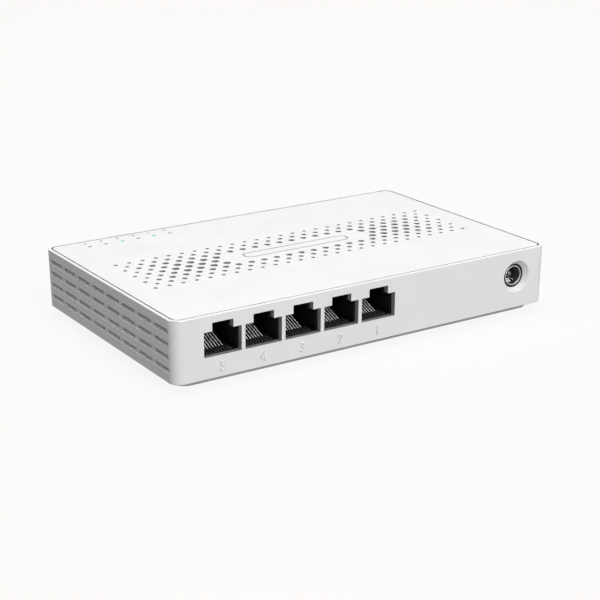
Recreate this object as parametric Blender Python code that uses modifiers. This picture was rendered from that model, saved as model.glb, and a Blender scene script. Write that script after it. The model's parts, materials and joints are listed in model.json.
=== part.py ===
"""Desktop network switch: five copper ports, a DC inlet, a vented top panel and all that is inside.

Frame: the origin is under the middle of the switch on the surface it stands on, +Z is up, the port
face looks towards -Y, and +X is to the right of somebody who faces the ports.
"""

import math

import bmesh
import bpy
from mathutils import Matrix, Vector

MM = 0.001

# Clearance between two pieces, and how far a cutter reaches past the face it opens
GAP = 0.3 * MM
OVERCUT = 1.0 * MM

# Case
WIDTH = 141.5 * MM
DEPTH = 89.0 * MM
WALL = 2.0 * MM
CORNER_RADIUS = 3.7 * MM
RIM = 1.1 * MM
PANEL_THICKNESS = 1.8 * MM
PANEL_HEADROOM = 0.4 * MM
TAB_WIDTH = 6.0 * MM
TAB_THICKNESS = 1.2 * MM
TAB_LENGTH = 3.2 * MM

# Base tray and feet
BASE_INSET = 3.3 * MM
BASE_RADIUS = 4.5 * MM
BASE_DROP = 2.1 * MM
BASE_FLOOR = 1.2 * MM
BASE_WALL = 1.5 * MM
BASE_HOLLOW_RADIUS = 2.0 * MM
FLANGE_TOP = 1.8 * MM
FLANGE_LIFT = 0.2 * MM
FLANGE_RADIUS = 1.0 * MM
BASE_VENT_COUNT = 9
BASE_VENT_PITCH = 6.5 * MM
BASE_VENT_WIDTH = 2.0 * MM
BASE_VENT_LENGTH = 12.0 * MM
FOOT_PROUD = 1.0 * MM
FOOT_RADIUS = 4.2 * MM
FOOT_TAPER = 0.4 * MM
FOOT_POCKET = 0.6 * MM
FOOT_INSET = 14.0 * MM

# Screws, and what they go into
SCREW_RADIUS = 1.0 * MM
SCREW_HEAD_RADIUS = 2.0 * MM
SCREW_HEAD_HEIGHT = 1.1 * MM
SCREW_CROWN = 0.8
RECESS_LENGTH = 2.0 * MM
RECESS_WIDTH = 0.56 * MM
RECESS_DEPTH = 0.6 * MM
CASE_SCREW_LENGTH = 9.5 * MM
BOARD_SCREW_LENGTH = 4.6 * MM
COUNTERBORE_DEPTH = 1.5 * MM
BOSS_INSET = 6.4 * MM
BOSS_RADIUS = 2.5 * MM
BOSS_HEIGHT = 12.0 * MM
BOSS_END = 2.0 * MM
WEB_THICKNESS = 2.0 * MM
PAD_RADIUS = 3.4 * MM

# Circuit board
BOARD_CLEARANCE = 2.9 * MM
BOARD_THICKNESS = 1.6 * MM
BOARD_INSET = 3.0 * MM
BOARD_SCREW_INSET_X = 5.5 * MM
BOARD_SCREW_INSET_Y = 8.5 * MM
STANDOFF_RADIUS = 2.2 * MM
NOTCH_CLEARANCE = 0.4 * MM

# Ports: eight-way sockets that share one housing
PORT_COUNT = 5
PORT_MARGIN = 16.46 * MM
PORT_RIB = 2.07 * MM
PORT_FLOOR_RISE = 2.5 * MM
HOUSING_SETBACK = 0.4 * MM
HOUSING_DEPTH = 16.0 * MM
HOUSING_END = 0.27 * MM
HOUSING_ROOF = 0.8 * MM
MOUTH_WIDTH = 11.9 * MM
MOUTH_HEIGHT = 7.3 * MM
LATCH_WIDTH = 6.3 * MM
LATCH_HEIGHT = 2.5 * MM
CAVITY_DEPTH = 12.5 * MM
CUTOUT_SIDE = 0.4 * MM
CUTOUT_BELOW = 0.05 * MM
CUTOUT_ABOVE = 0.45 * MM
CUTOUT_LATCH_ABOVE = 0.55 * MM

# Port contacts: wires on a bar, and the insert that guides their free ends
WIRE_COUNT = 8
WIRE_PITCH = 1.016 * MM
WIRE_WIDTH = 0.4 * MM
WIRE_THICKNESS = 0.3 * MM
WIRE_LENGTH = 8.6 * MM
WIRE_ROOT = 0.2 * MM
WIRE_SLOPE = math.radians(20.5)
WIRE_PIVOT_DEPTH = 3.7 * MM
WIRE_PIVOT_DROP = 0.3 * MM
BAR_DEPTH = 1.0 * MM
BAR_BELOW = 0.6 * MM
BAR_ABOVE = 0.2 * MM
BAR_SIDE = 0.2 * MM
INSERT_SIDE = 0.75 * MM
INSERT_DROP = 1.4 * MM
INSERT_RISE = 3.9 * MM
INSERT_PLATE = 0.7 * MM
COMB_REACH = 1.7 * MM
COMB_SLOT_DEPTH = 1.8 * MM
COMB_CLEARANCE = 0.15 * MM
POCKET_FRONT = 2.3 * MM

# DC inlet
JACK_MARGIN = 12.75 * MM
JACK_FLOOR = 2.6 * MM
JACK_SIDE = 0.75 * MM
JACK_ROOF = 1.0 * MM
JACK_DEPTH = 13.6 * MM
JACK_BACK_WALL = 3.0 * MM
JACK_CONE_DEPTH = 1.6 * MM
JACK_FLARE = 1.75 * MM
NOSE_WALL = 0.25 * MM
SLEEVE_RADIUS = 3.3 * MM
SLEEVE_CLEARANCE = 0.2 * MM
SLEEVE_WALL = 0.3 * MM
SLEEVE_SETBACK = 0.1 * MM
PIN_RADIUS = 1.0 * MM
PIN_SETBACK = 1.6 * MM
LEAF_WIDTH = 3.6 * MM
LEAF_ROOM = 0.5 * MM
LEAF_PIVOT_DEPTH = 8.2 * MM
LEAF_DROP = 0.25 * MM
LEAF_BENDS = ((0.4 * MM, 0.0), (-4.2 * MM, 1.2 * MM), (-5.8 * MM, 0.5 * MM))
CHANNEL_FRONT = 1.4 * MM
CHANNEL_DROP = 1.1 * MM
CHANNEL_TOP = 1.5 * MM

# Vents in the top panel: staggered rows, smaller towards the edge of the field
VENT_ROWS = 9
VENT_PITCH_X = 4.79 * MM
VENT_PITCH_Y = 3.4 * MM
VENT_MARGIN = 10.8 * MM
VENT_DIAMETERS = (1.4 * MM, 1.75 * MM, 2.15 * MM, 2.5 * MM)
VENT_SIDES = 6
VENT_OVERSIZE = 1.05
NAMEPLATE_HALF_WIDTH = 27.0 * MM
NAMEPLATE_HALF_HEIGHT = 5.0 * MM
NAME_GROOVE_LENGTH = 41.0 * MM
NAME_GROOVE_HEIGHT = 5.2 * MM
NAME_GROOVE_WIDTH = 0.6 * MM
NAME_GROOVE_DEPTH = 0.4 * MM

# Vents in the sides: long grooves with slots through their floors
GROOVE_COUNT = 4
GROOVE_PITCH = 4.0 * MM
GROOVE_LIFT = 0.1 * MM
GROOVE_HEIGHT = 1.65 * MM
GROOVE_DEPTH = 0.45 * MM
GROOVE_END = 2.95 * MM
SLOT_COUNT = 8
SLOT_RIB = 2.8 * MM
SLOT_LEDGE = 0.15 * MM

# Indicators
LED_COUNT = 6
LED_PITCH = 6.0 * MM
LED_MARGIN = 12.9 * MM
LED_BACK_MARGIN = 7.5 * MM
LED_SIZE = (1.6 * MM, 0.8 * MM, 0.6 * MM)
PIPE_RADIUS = 0.6 * MM
PIPE_CLEARANCE = 0.15 * MM
PIPE_STEM_RADIUS = 0.85 * MM
PIPE_STEM_LIFT = 1.0 * MM
PIPE_TIP_DROP = 0.05 * MM
STRIP_THICKNESS = 1.5 * MM
STRIP_WIDTH = 3.0 * MM
STRIP_END = 2.0 * MM
JOIN_DEPTH = 0.5 * MM

# Components on the board: width, depth and height
TRANSFORMER_SIZE = (12.4 * MM, 9.6 * MM, 5.8 * MM)
TRANSFORMER_SPACE = 4.6 * MM
CHIP_PLACE = (-8.0 * MM, 9.0 * MM)
CHIP_SIZE = (14.0 * MM, 14.0 * MM, 1.4 * MM)
THERMAL_PAD_SIZE = (13.0 * MM, 13.0 * MM, 0.5 * MM)
HEATSINK_SIZE = (18.0 * MM, 18.0 * MM, 6.0 * MM)
HEATSINK_PLATE = 1.4 * MM
FIN_GAP_COUNT = 5
FIN_PITCH = 3.4 * MM
FIN_GAP = 2.0 * MM
CRYSTAL_PLACE = (10.0 * MM, 7.5 * MM)
CRYSTAL_SIZE = (11.0 * MM, 4.5 * MM, 3.4 * MM)
FLASH_PLACE = (-24.0 * MM, 9.0 * MM)
FLASH_SIZE = (4.0 * MM, 5.0 * MM, 1.5 * MM)
INDUCTOR_MARGIN = 36.0 * MM
INDUCTOR_Y = 1.5 * MM
INDUCTOR_SIZE = (10.0 * MM, 10.0 * MM, 5.0 * MM)
REGULATOR_MARGIN = 50.0 * MM
REGULATOR_Y = -0.5 * MM
REGULATOR_SIZE = (6.5 * MM, 7.0 * MM, 1.7 * MM)
INPUT_MARGIN = 25.5 * MM
DIODE_DEPTH = 18.0 * MM
DIODE_SIZE = (5.0 * MM, 2.6 * MM, 2.2 * MM)
FUSE_DEPTH = 12.0 * MM
FUSE_SIZE = (6.0 * MM, 2.5 * MM, 2.5 * MM)
CAPACITOR_MARGINS = (23.5 * MM, 13.0 * MM)
CAPACITOR_DEPTH = 30.0 * MM
CAPACITOR_RADIUS = 4.0 * MM
CAPACITOR_HEIGHT = 10.5 * MM

# Worked out from the sizes above
LEFT = -WIDTH / 2
RIGHT = WIDTH / 2
FRONT = -DEPTH / 2
BACK = DEPTH / 2
CORNERS = [(side, end) for side in (-1, 1) for end in (-1, 1)]
BASE_BOTTOM = FOOT_PROUD
BODY_BOTTOM = BASE_BOTTOM + BASE_DROP
BASE_TOP = BODY_BOTTOM + FLANGE_TOP
BOSS_BOTTOM = BASE_TOP + GAP
BOARD_BOTTOM = BODY_BOTTOM + BOARD_CLEARANCE
BOARD_TOP = BOARD_BOTTOM + BOARD_THICKNESS
SEAT = BOARD_TOP + GAP
PORT_PITCH = MOUTH_WIDTH + PORT_RIB
PORT_FLOOR = BOARD_TOP + PORT_FLOOR_RISE
MOUTH_TOP = PORT_FLOOR + MOUTH_HEIGHT
LATCH_TOP = MOUTH_TOP + LATCH_HEIGHT
HOUSING_TOP = LATCH_TOP + HOUSING_ROOF
HOUSING_FRONT = FRONT + WALL + HOUSING_SETBACK
HOUSING_BACK = HOUSING_FRONT + HOUSING_DEPTH
PORT_XS = [LEFT + PORT_MARGIN + index * PORT_PITCH for index in range(PORT_COUNT)]
WIRE_OFFSETS = [(index - (WIRE_COUNT - 1) / 2) * WIRE_PITCH for index in range(WIRE_COUNT)]
INSERT_HALF_WIDTH = WIRE_OFFSETS[-1] + INSERT_SIDE
INSERT_BOTTOM = PORT_FLOOR - INSERT_DROP
PANEL_BOTTOM = HOUSING_TOP + PANEL_HEADROOM
BODY_TOP = PANEL_BOTTOM + PANEL_THICKNESS
SLOT_PITCH = (DEPTH - 2 * GROOVE_END) / SLOT_COUNT
BOSS_Y = 2 * SLOT_PITCH
JACK_BORE_RADIUS = SLEEVE_RADIUS + SLEEVE_CLEARANCE
JACK_NOSE_RADIUS = JACK_BORE_RADIUS + NOSE_WALL
JACK_X = RIGHT - JACK_MARGIN
JACK_Z = BOARD_TOP + JACK_FLOOR + JACK_NOSE_RADIUS
JACK_FRONT = FRONT + JACK_CONE_DEPTH
JACK_BACK = HOUSING_FRONT + JACK_DEPTH
JACK_BORE_END = JACK_BACK - JACK_BACK_WALL
LED_XS = [LEFT + LED_MARGIN + index * LED_PITCH for index in range(LED_COUNT)]
LED_Y = BACK - LED_BACK_MARGIN


# ---------------------------------------------------------------- scene

def clear_scene():
    for obj in list(bpy.data.objects):
        bpy.data.objects.remove(obj, do_unlink=True)


def new_collection(name):
    collection = bpy.data.collections.new(name)
    bpy.context.scene.collection.children.link(collection)
    return collection


clear_scene()
PARTS = new_collection("desktop_network_switch")
CUTTERS = new_collection("cutters")
CUTTERS.hide_render = True


# ------------------------------------------------------------ materials

def material(name, colour, roughness, metallic=0.0):
    made = bpy.data.materials.get(name)
    if made:
        return made
    made = bpy.data.materials.new(name)
    made.use_nodes = True
    shader = made.node_tree.nodes["Principled BSDF"]
    shader.inputs["Base Color"].default_value = (*colour, 1.0)
    shader.inputs["Roughness"].default_value = roughness
    shader.inputs["Metallic"].default_value = metallic
    return made


def white_plastic():
    return material("white_plastic", (0.83, 0.83, 0.83), 0.45)


def black_plastic():
    return material("black_plastic", (0.012, 0.012, 0.013), 0.4)


def black_rubber():
    return material("black_rubber", (0.02, 0.02, 0.02), 0.85)


def green_board():
    return material("green_board", (0.02, 0.11, 0.05), 0.5)


def chip_resin():
    return material("chip_resin", (0.02, 0.02, 0.022), 0.6)


def bright_metal():
    return material("bright_metal", (0.75, 0.75, 0.74), 0.25, 1.0)


def contact_metal():
    return material("contact_metal", (0.85, 0.83, 0.76), 0.2, 1.0)


def dark_aluminium():
    return material("dark_aluminium", (0.12, 0.12, 0.13), 0.45, 1.0)


def clear_plastic():
    return material("clear_plastic", (0.72, 0.74, 0.74), 0.2)


def led_lens():
    return material("led_lens", (0.6, 0.85, 0.5), 0.25)


def grey_pad():
    return material("grey_pad", (0.35, 0.36, 0.38), 0.8)


# --------------------------------------------------------------- shapes

def add_box(shape, low, high):
    """A box between two opposite corners, given in either order on each axis."""
    low = Vector(low)
    high = Vector(high)
    size = [abs(side) for side in high - low]
    place = Matrix.Translation((low + high) / 2) @ Matrix.Diagonal((*size, 1.0))
    bmesh.ops.create_cube(shape, size=1.0, matrix=place)


def add_cylinder(shape, start, end, radius, sides, end_radius=None):
    start = Vector(start)
    end = Vector(end)
    axis = end - start
    place = Matrix.Translation((start + end) / 2) @ axis.to_track_quat("Z", "Y").to_matrix().to_4x4()
    bmesh.ops.create_cone(
        shape,
        cap_ends=True,
        segments=sides,
        radius1=radius,
        radius2=radius if end_radius is None else end_radius,
        depth=axis.length,
        matrix=place,
    )


def round_uprights(shape, radius, segments):
    upright = [edge for edge in shape.edges if abs(edge.verts[0].co.z - edge.verts[1].co.z) > MM / 2]
    bmesh.ops.bevel(
        shape, geom=upright, offset=radius, segments=segments, profile=0.5, affect="EDGES"
    )


def add_rounded_plate(shape, inset, bottom, top, radius, segments=5):
    """A plate of the case's outline moved in by inset, with its upright edges rounded."""
    add_box(shape, (LEFT + inset, FRONT + inset, bottom), (RIGHT - inset, BACK - inset, top))
    round_uprights(shape, radius, segments)


def add_object(name, shape, finish, collection, origin=(0.0, 0.0, 0.0)):
    bmesh.ops.translate(shape, verts=shape.verts, vec=-Vector(origin))
    mesh = bpy.data.meshes.new(name)
    shape.to_mesh(mesh)
    shape.free()
    if finish:
        mesh.materials.append(finish)
    obj = bpy.data.objects.new(name, mesh)
    obj.location = origin
    collection.objects.link(obj)
    return obj


def part(name, shape, finish, origin=(0.0, 0.0, 0.0)):
    return add_object(name, shape, finish, PARTS, origin)


def cutter(name, shape):
    helper = add_object(name, shape, None, CUTTERS)
    hide(helper)
    return helper


def hide(helper):
    helper.hide_render = True
    helper.display_type = "WIRE"


def copy_of(first, name, place):
    """A twin of the first piece at another place, with its own copies of the cutters."""
    move = Vector(place) - first.location
    twin = bpy.data.objects.new(name, first.data)
    twin.location = place
    PARTS.objects.link(twin)
    for modifier in first.modifiers:
        helper = bpy.data.objects.new(modifier.object.name, modifier.object.data)
        helper.location = modifier.object.location + move
        CUTTERS.objects.link(helper)
        hide(helper)
        add_boolean(twin, helper, modifier.operation)


def add_boolean(obj, helper, operation):
    modifier = obj.modifiers.new(operation.lower() + "_" + helper.name, "BOOLEAN")
    modifier.operation = operation
    modifier.object = helper
    modifier.solver = "EXACT"


def cut(obj, name, shape):
    add_boolean(obj, cutter(name, shape), "DIFFERENCE")


def join(obj, name, shape):
    add_boolean(obj, cutter(name, shape), "UNION")


def smooth(obj, angle=35.0):
    obj.data.shade_smooth()
    obj.data.set_sharp_from_angle(angle=math.radians(angle))


# ----------------------------------------------------------------- case

def body_frame():
    shape = bmesh.new()
    add_rounded_plate(shape, 0.0, BODY_BOTTOM, BODY_TOP, CORNER_RADIUS, segments=6)
    frame = part("body_frame", shape, white_plastic())

    inner = bmesh.new()
    add_rounded_plate(inner, WALL, BODY_BOTTOM - OVERCUT, BODY_TOP + OVERCUT, inner_radius(WALL))
    cut(frame, "frame_hollow", inner)

    pocket = bmesh.new()
    add_rounded_plate(pocket, RIM, PANEL_BOTTOM - GAP, BODY_TOP + OVERCUT, inner_radius(RIM))
    cut(frame, "panel_pocket", pocket)

    add_bosses(frame)
    cut_side_vents(frame)
    cut_port_windows(frame)
    cut_jack_mouth(frame)


def inner_radius(inset):
    return CORNER_RADIUS - inset


def boss_places():
    return [(side * (RIGHT - BOSS_INSET), end * BOSS_Y) for side, end in CORNERS]


def board_screw_places():
    reach_x = RIGHT - BOARD_SCREW_INSET_X
    reach_y = BACK - BOARD_SCREW_INSET_Y
    return [(side * reach_x, end * reach_y) for side, end in CORNERS]


def foot_places():
    return [(side * (RIGHT - FOOT_INSET), end * (BACK - FOOT_INSET)) for side, end in CORNERS]


def add_bosses(frame):
    """The screw bosses under the rim, each with a web to the nearest side wall."""
    posts = bmesh.new()
    webs = bmesh.new()
    pilots = bmesh.new()
    top = BOSS_BOTTOM + BOSS_HEIGHT
    half_web = WEB_THICKNESS / 2
    for x, y in boss_places():
        wall = math.copysign(RIGHT - WALL / 2, x)
        add_cylinder(posts, (x, y, BOSS_BOTTOM), (x, y, top), BOSS_RADIUS, 12)
        add_box(webs, (x, y - half_web, BOSS_BOTTOM), (wall, y + half_web, top - OVERCUT))
        low = (x, y, BOSS_BOTTOM - OVERCUT)
        add_cylinder(pilots, low, (x, y, top - BOSS_END), SCREW_RADIUS + GAP, 10)
    join(frame, "boss_posts", posts)
    join(frame, "boss_webs", webs)
    cut(frame, "boss_pilots", pilots)


def cut_side_vents(frame):
    grooves = bmesh.new()
    slots = bmesh.new()
    middle = (BODY_BOTTOM + BODY_TOP) / 2 + GROOVE_LIFT
    half_z = GROOVE_HEIGHT / 2
    half_slot_z = half_z - SLOT_LEDGE
    half_slot_y = (SLOT_PITCH - SLOT_RIB) / 2
    for side in (-1, 1):
        outside = side * (RIGHT + OVERCUT)
        groove_floor = side * (RIGHT - GROOVE_DEPTH)
        inside = side * (RIGHT - WALL - GAP)
        for row in range(GROOVE_COUNT):
            z = middle + (row - (GROOVE_COUNT - 1) / 2) * GROOVE_PITCH
            low = (groove_floor, FRONT + GROOVE_END, z - half_z)
            add_box(grooves, low, (outside, BACK - GROOVE_END, z + half_z))
            for index in range(SLOT_COUNT):
                y = (index - (SLOT_COUNT - 1) / 2) * SLOT_PITCH
                low = (inside, y - half_slot_y, z - half_slot_z)
                add_box(slots, low, (outside, y + half_slot_y, z + half_slot_z))
    cut(frame, "side_grooves", grooves)
    cut(frame, "side_slots", slots)


def cut_port_windows(frame):
    windows = bmesh.new()
    latches = bmesh.new()
    near = FRONT - OVERCUT
    far = FRONT + WALL + OVERCUT
    half = MOUTH_WIDTH / 2 + CUTOUT_SIDE
    half_latch = LATCH_WIDTH / 2 + CUTOUT_SIDE
    for x in PORT_XS:
        low = (x - half, near, PORT_FLOOR - CUTOUT_BELOW)
        add_box(windows, low, (x + half, far, MOUTH_TOP + CUTOUT_ABOVE))
        low = (x - half_latch, near, MOUTH_TOP - OVERCUT)
        add_box(latches, low, (x + half_latch, far, LATCH_TOP + CUTOUT_LATCH_ABOVE))
    cut(frame, "port_windows", windows)
    cut(frame, "latch_windows", latches)


def cut_jack_mouth(frame):
    narrow = JACK_NOSE_RADIUS + GAP
    slope = (JACK_NOSE_RADIUS + JACK_FLARE - narrow) / JACK_CONE_DEPTH
    wide = JACK_NOSE_RADIUS + JACK_FLARE + slope * OVERCUT
    near = (JACK_X, FRONT - OVERCUT, JACK_Z)
    hole = bmesh.new()
    add_cylinder(hole, near, (JACK_X, FRONT + WALL + OVERCUT, JACK_Z), narrow, 24)
    cut(frame, "jack_hole", hole)
    cone = bmesh.new()
    add_cylinder(cone, near, (JACK_X, JACK_FRONT, JACK_Z), wide, 24, narrow)
    cut(frame, "jack_cone", cone)


def top_panel():
    shape = bmesh.new()
    edge = RIM + GAP
    add_rounded_plate(shape, edge, PANEL_BOTTOM, BODY_TOP, inner_radius(edge))
    panel = part("top_panel", shape, white_plastic())

    vents = bmesh.new()
    for x, y, diameter in vent_holes():
        add_through_hole(vents, x, y, diameter / 2 * VENT_OVERSIZE, VENT_SIDES)
    cut(panel, "top_vents", vents)

    pipes = bmesh.new()
    for x in LED_XS:
        add_through_hole(pipes, x, LED_Y, PIPE_RADIUS + PIPE_CLEARANCE, 8)
    cut(panel, "pipe_holes", pipes)
    cut_name_groove(panel)

    tabs = bmesh.new()
    for low, high in panel_tabs():
        add_box(tabs, low, high)
    join(panel, "panel_tabs", tabs)


def add_through_hole(shape, x, y, radius, sides):
    add_cylinder(shape, (x, y, PANEL_BOTTOM - OVERCUT), (x, y, BODY_TOP + OVERCUT), radius, sides)


def vent_holes():
    """Each hole of the top field as (x, y, diameter)."""
    columns = int((WIDTH - 2 * VENT_MARGIN) / VENT_PITCH_X) + 1
    holes = []
    for row in range(VENT_ROWS):
        count = columns - row % 2
        y = (row - (VENT_ROWS - 1) / 2) * VENT_PITCH_Y
        for column in range(count):
            x = (column - (count - 1) / 2) * VENT_PITCH_X
            if abs(x) < NAMEPLATE_HALF_WIDTH and abs(y) < NAMEPLATE_HALF_HEIGHT:
                continue
            ring = min(row, VENT_ROWS - 1 - row, column, count - 1 - column, len(VENT_DIAMETERS) - 1)
            holes.append((x, y, VENT_DIAMETERS[ring]))
    return holes


def cut_name_groove(panel):
    """A plain closed groove where a name would be."""
    step = 2 * NAME_GROOVE_WIDTH
    outer = bmesh.new()
    bottom = BODY_TOP - NAME_GROOVE_DEPTH
    add_stadium(outer, NAME_GROOVE_LENGTH, NAME_GROOVE_HEIGHT, bottom, BODY_TOP + OVERCUT)
    ring = cutter("name_groove", outer)
    inner = bmesh.new()
    bottom -= NAME_GROOVE_DEPTH
    top = BODY_TOP + 2 * OVERCUT
    add_stadium(inner, NAME_GROOVE_LENGTH - step, NAME_GROOVE_HEIGHT - step, bottom, top)
    cut(ring, "name_island", inner)
    add_boolean(panel, ring, "DIFFERENCE")


def add_stadium(shape, length, height, bottom, top):
    """A plate about the origin with ends that are all but half round."""
    flat = 0.05 * MM
    add_box(shape, (-length / 2, -height / 2, bottom), (length / 2, height / 2, top))
    round_uprights(shape, height / 2 - flat, 5)


def panel_tabs():
    """Upright tabs that hang under the panel just inside the walls, as low and high corners."""
    half = TAB_WIDTH / 2
    near = WALL + GAP
    far = near + TAB_THICKNESS
    bottom = PANEL_BOTTOM - TAB_LENGTH
    top = PANEL_BOTTOM + GAP
    tabs = []
    for x in (LEFT / 2, RIGHT / 2):
        tabs.append(((x - half, BACK - far, bottom), (x + half, BACK - near, top)))
    for side in (-1, 1):
        tabs.append(((side * (RIGHT - far), -half, bottom), (side * (RIGHT - near), half, top)))
    x = (PORT_XS[-1] + JACK_X) / 2
    tabs.append(((x - half, FRONT + near, bottom), (x + half, FRONT + far, top)))
    return tabs


# ----------------------------------------------------------------- base

def base_tray():
    shape = bmesh.new()
    add_rounded_plate(shape, BASE_INSET, BASE_BOTTOM, BASE_TOP, BASE_RADIUS)
    tray = part("base_tray", shape, white_plastic())

    flange = bmesh.new()
    low = BODY_BOTTOM + FLANGE_LIFT
    add_rounded_plate(flange, WALL + GAP, low, BASE_TOP - FLANGE_LIFT / 2, FLANGE_RADIUS)
    join(tray, "base_flange", flange)

    hollow = bmesh.new()
    low = BASE_BOTTOM + BASE_FLOOR
    inset = BASE_INSET + BASE_WALL
    add_rounded_plate(hollow, inset, low, BASE_TOP + OVERCUT, BASE_HOLLOW_RADIUS)
    cut(tray, "base_hollow", hollow)
    add_base_posts(tray)
    cut_base_holes(tray)
    cut_base_vents(tray)


def add_base_posts(tray):
    pads = bmesh.new()
    standoffs = bmesh.new()
    low = BASE_BOTTOM + BASE_FLOOR / 2
    for x, y in boss_places():
        add_cylinder(pads, (x, y, low), (x, y, BASE_TOP), PAD_RADIUS, 12)
    for x, y in board_screw_places():
        add_cylinder(standoffs, (x, y, low), (x, y, BOARD_BOTTOM - GAP), STANDOFF_RADIUS, 12)
    join(tray, "screw_pads", pads)
    join(tray, "board_standoffs", standoffs)


def cut_base_holes(tray):
    bores = bmesh.new()
    counterbores = bmesh.new()
    pilots = bmesh.new()
    pockets = bmesh.new()
    under = BASE_BOTTOM - OVERCUT
    seat = BASE_BOTTOM + COUNTERBORE_DEPTH
    pilot = BASE_BOTTOM + BASE_FLOOR / 2
    for x, y in boss_places():
        add_cylinder(bores, (x, y, BASE_BOTTOM), (x, y, BASE_TOP + OVERCUT), SCREW_RADIUS + GAP, 10)
        add_cylinder(counterbores, (x, y, under), (x, y, seat), SCREW_HEAD_RADIUS + GAP, 12)
    for x, y in board_screw_places():
        add_cylinder(pilots, (x, y, pilot), (x, y, BOARD_BOTTOM + OVERCUT), SCREW_RADIUS + GAP, 10)
    for x, y in foot_places():
        add_cylinder(pockets, (x, y, under), (x, y, BASE_BOTTOM + FOOT_POCKET), FOOT_RADIUS + GAP, 20)
    cut(tray, "screw_bores", bores)
    cut(tray, "screw_counterbores", counterbores)
    cut(tray, "standoff_pilots", pilots)
    cut(tray, "foot_pockets", pockets)


def cut_base_vents(tray):
    """Two rows of slots through the floor of the tray."""
    vents = bmesh.new()
    half_x = BASE_VENT_WIDTH / 2
    half_y = BASE_VENT_LENGTH / 2
    low = BASE_BOTTOM - OVERCUT
    high = BASE_BOTTOM + BASE_FLOOR + OVERCUT
    for y in (FRONT / 4, BACK / 4):
        for index in range(BASE_VENT_COUNT):
            x = (index - (BASE_VENT_COUNT - 1) / 2) * BASE_VENT_PITCH
            add_box(vents, (x - half_x, y - half_y, low), (x + half_x, y + half_y, high))
    cut(tray, "base_vents", vents)


def rubber_feet():
    places = foot_places()
    x, y = places[0]
    shape = bmesh.new()
    top = BASE_BOTTOM + FOOT_POCKET - GAP
    add_cylinder(shape, (x, y, 0.0), (x, y, top), FOOT_RADIUS - FOOT_TAPER, 20, FOOT_RADIUS)
    first = part("rubber_foot_1", shape, black_rubber(), (x, y, 0.0))
    smooth(first)
    for index, (x, y) in enumerate(places[1:], start=2):
        copy_of(first, f"rubber_foot_{index}", (x, y, 0.0))


# --------------------------------------------------------------- screws

def screws(name, places, seat, length, up):
    """Pan-head screws. Each head rests at seat and its shank runs along up, which is 1 or -1."""
    first = screw(f"{name}_1", (*places[0], seat), length, up)
    for index, (x, y) in enumerate(places[1:], start=2):
        copy_of(first, f"{name}_{index}", (x, y, seat))


def screw(name, place, length, up):
    x, y, seat = place
    head_end = seat - up * SCREW_HEAD_HEIGHT
    shape = bmesh.new()
    crown = SCREW_HEAD_RADIUS * SCREW_CROWN
    add_cylinder(shape, place, (x, y, head_end), SCREW_HEAD_RADIUS, 12, crown)
    made = part(name, shape, bright_metal(), place)

    shank = bmesh.new()
    start = (x, y, seat - up * SCREW_HEAD_HEIGHT / 2)
    add_cylinder(shank, start, (x, y, seat + up * length), SCREW_RADIUS, 8)
    join(made, name + "_shank", shank)

    for half_x, half_y in ((RECESS_LENGTH / 2, RECESS_WIDTH / 2), (RECESS_WIDTH / 2, RECESS_LENGTH / 2)):
        slot = bmesh.new()
        low = (x - half_x, y - half_y, head_end + up * RECESS_DEPTH)
        add_box(slot, low, (x + half_x, y + half_y, head_end - up * OVERCUT))
        cut(made, name + "_recess", slot)
    return made


def case_screws():
    screws("case_screw", boss_places(), BASE_BOTTOM + COUNTERBORE_DEPTH - GAP, CASE_SCREW_LENGTH, 1)


def board_screws():
    screws("board_screw", board_screw_places(), SEAT, BOARD_SCREW_LENGTH, -1)


# ---------------------------------------------------------------- board

def circuit_board():
    shape = bmesh.new()
    inset = BOARD_INSET
    add_box(shape, (LEFT + inset, FRONT + inset, BOARD_BOTTOM), (RIGHT - inset, BACK - inset, BOARD_TOP))
    board = part("circuit_board", shape, green_board())
    notches = bmesh.new()
    holes = bmesh.new()
    low = BOARD_BOTTOM - OVERCUT
    high = BOARD_TOP + OVERCUT
    room = BOSS_RADIUS + NOTCH_CLEARANCE
    for x, y in boss_places():
        inner = x - math.copysign(room, x)
        outer = math.copysign(RIGHT, x)
        add_box(notches, (inner, y - room, low), (outer, y + room, high))
    for x, y in board_screw_places():
        add_cylinder(holes, (x, y, low), (x, y, high), SCREW_RADIUS + GAP, 10)
    cut(board, "boss_notches", notches)
    cut(board, "board_holes", holes)


def block(name, x, y, size, finish, bottom=SEAT):
    """A rectangular component whose underside is at bottom."""
    width, depth, height = size
    shape = bmesh.new()
    low = (x - width / 2, y - depth / 2, bottom)
    add_box(shape, low, (x + width / 2, y + depth / 2, bottom + height))
    return part(name, shape, finish)


def transformers():
    y = HOUSING_BACK + TRANSFORMER_SPACE + TRANSFORMER_SIZE[1] / 2
    for index, x in enumerate(PORT_XS):
        block(f"line_transformer_{PORT_COUNT - index}", x, y, TRANSFORMER_SIZE, chip_resin())


def switch_chip_stack():
    """The switch chip with a pad and a finned heatsink on it."""
    pad_bottom = SEAT + CHIP_SIZE[2] + GAP
    sink_bottom = pad_bottom + THERMAL_PAD_SIZE[2] + GAP
    block("switch_chip", *CHIP_PLACE, CHIP_SIZE, chip_resin())
    block("thermal_pad", *CHIP_PLACE, THERMAL_PAD_SIZE, grey_pad(), pad_bottom)
    sink = block("heatsink", *CHIP_PLACE, HEATSINK_SIZE, dark_aluminium(), sink_bottom)

    gaps = bmesh.new()
    x, y = CHIP_PLACE
    reach = HEATSINK_SIZE[1] / 2 + OVERCUT
    top = sink_bottom + HEATSINK_SIZE[2] + OVERCUT
    for index in range(FIN_GAP_COUNT):
        middle = x + (index - (FIN_GAP_COUNT - 1) / 2) * FIN_PITCH
        low = (middle - FIN_GAP / 2, y - reach, sink_bottom + HEATSINK_PLATE)
        add_box(gaps, low, (middle + FIN_GAP / 2, y + reach, top))
    cut(sink, "fin_gaps", gaps)


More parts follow.
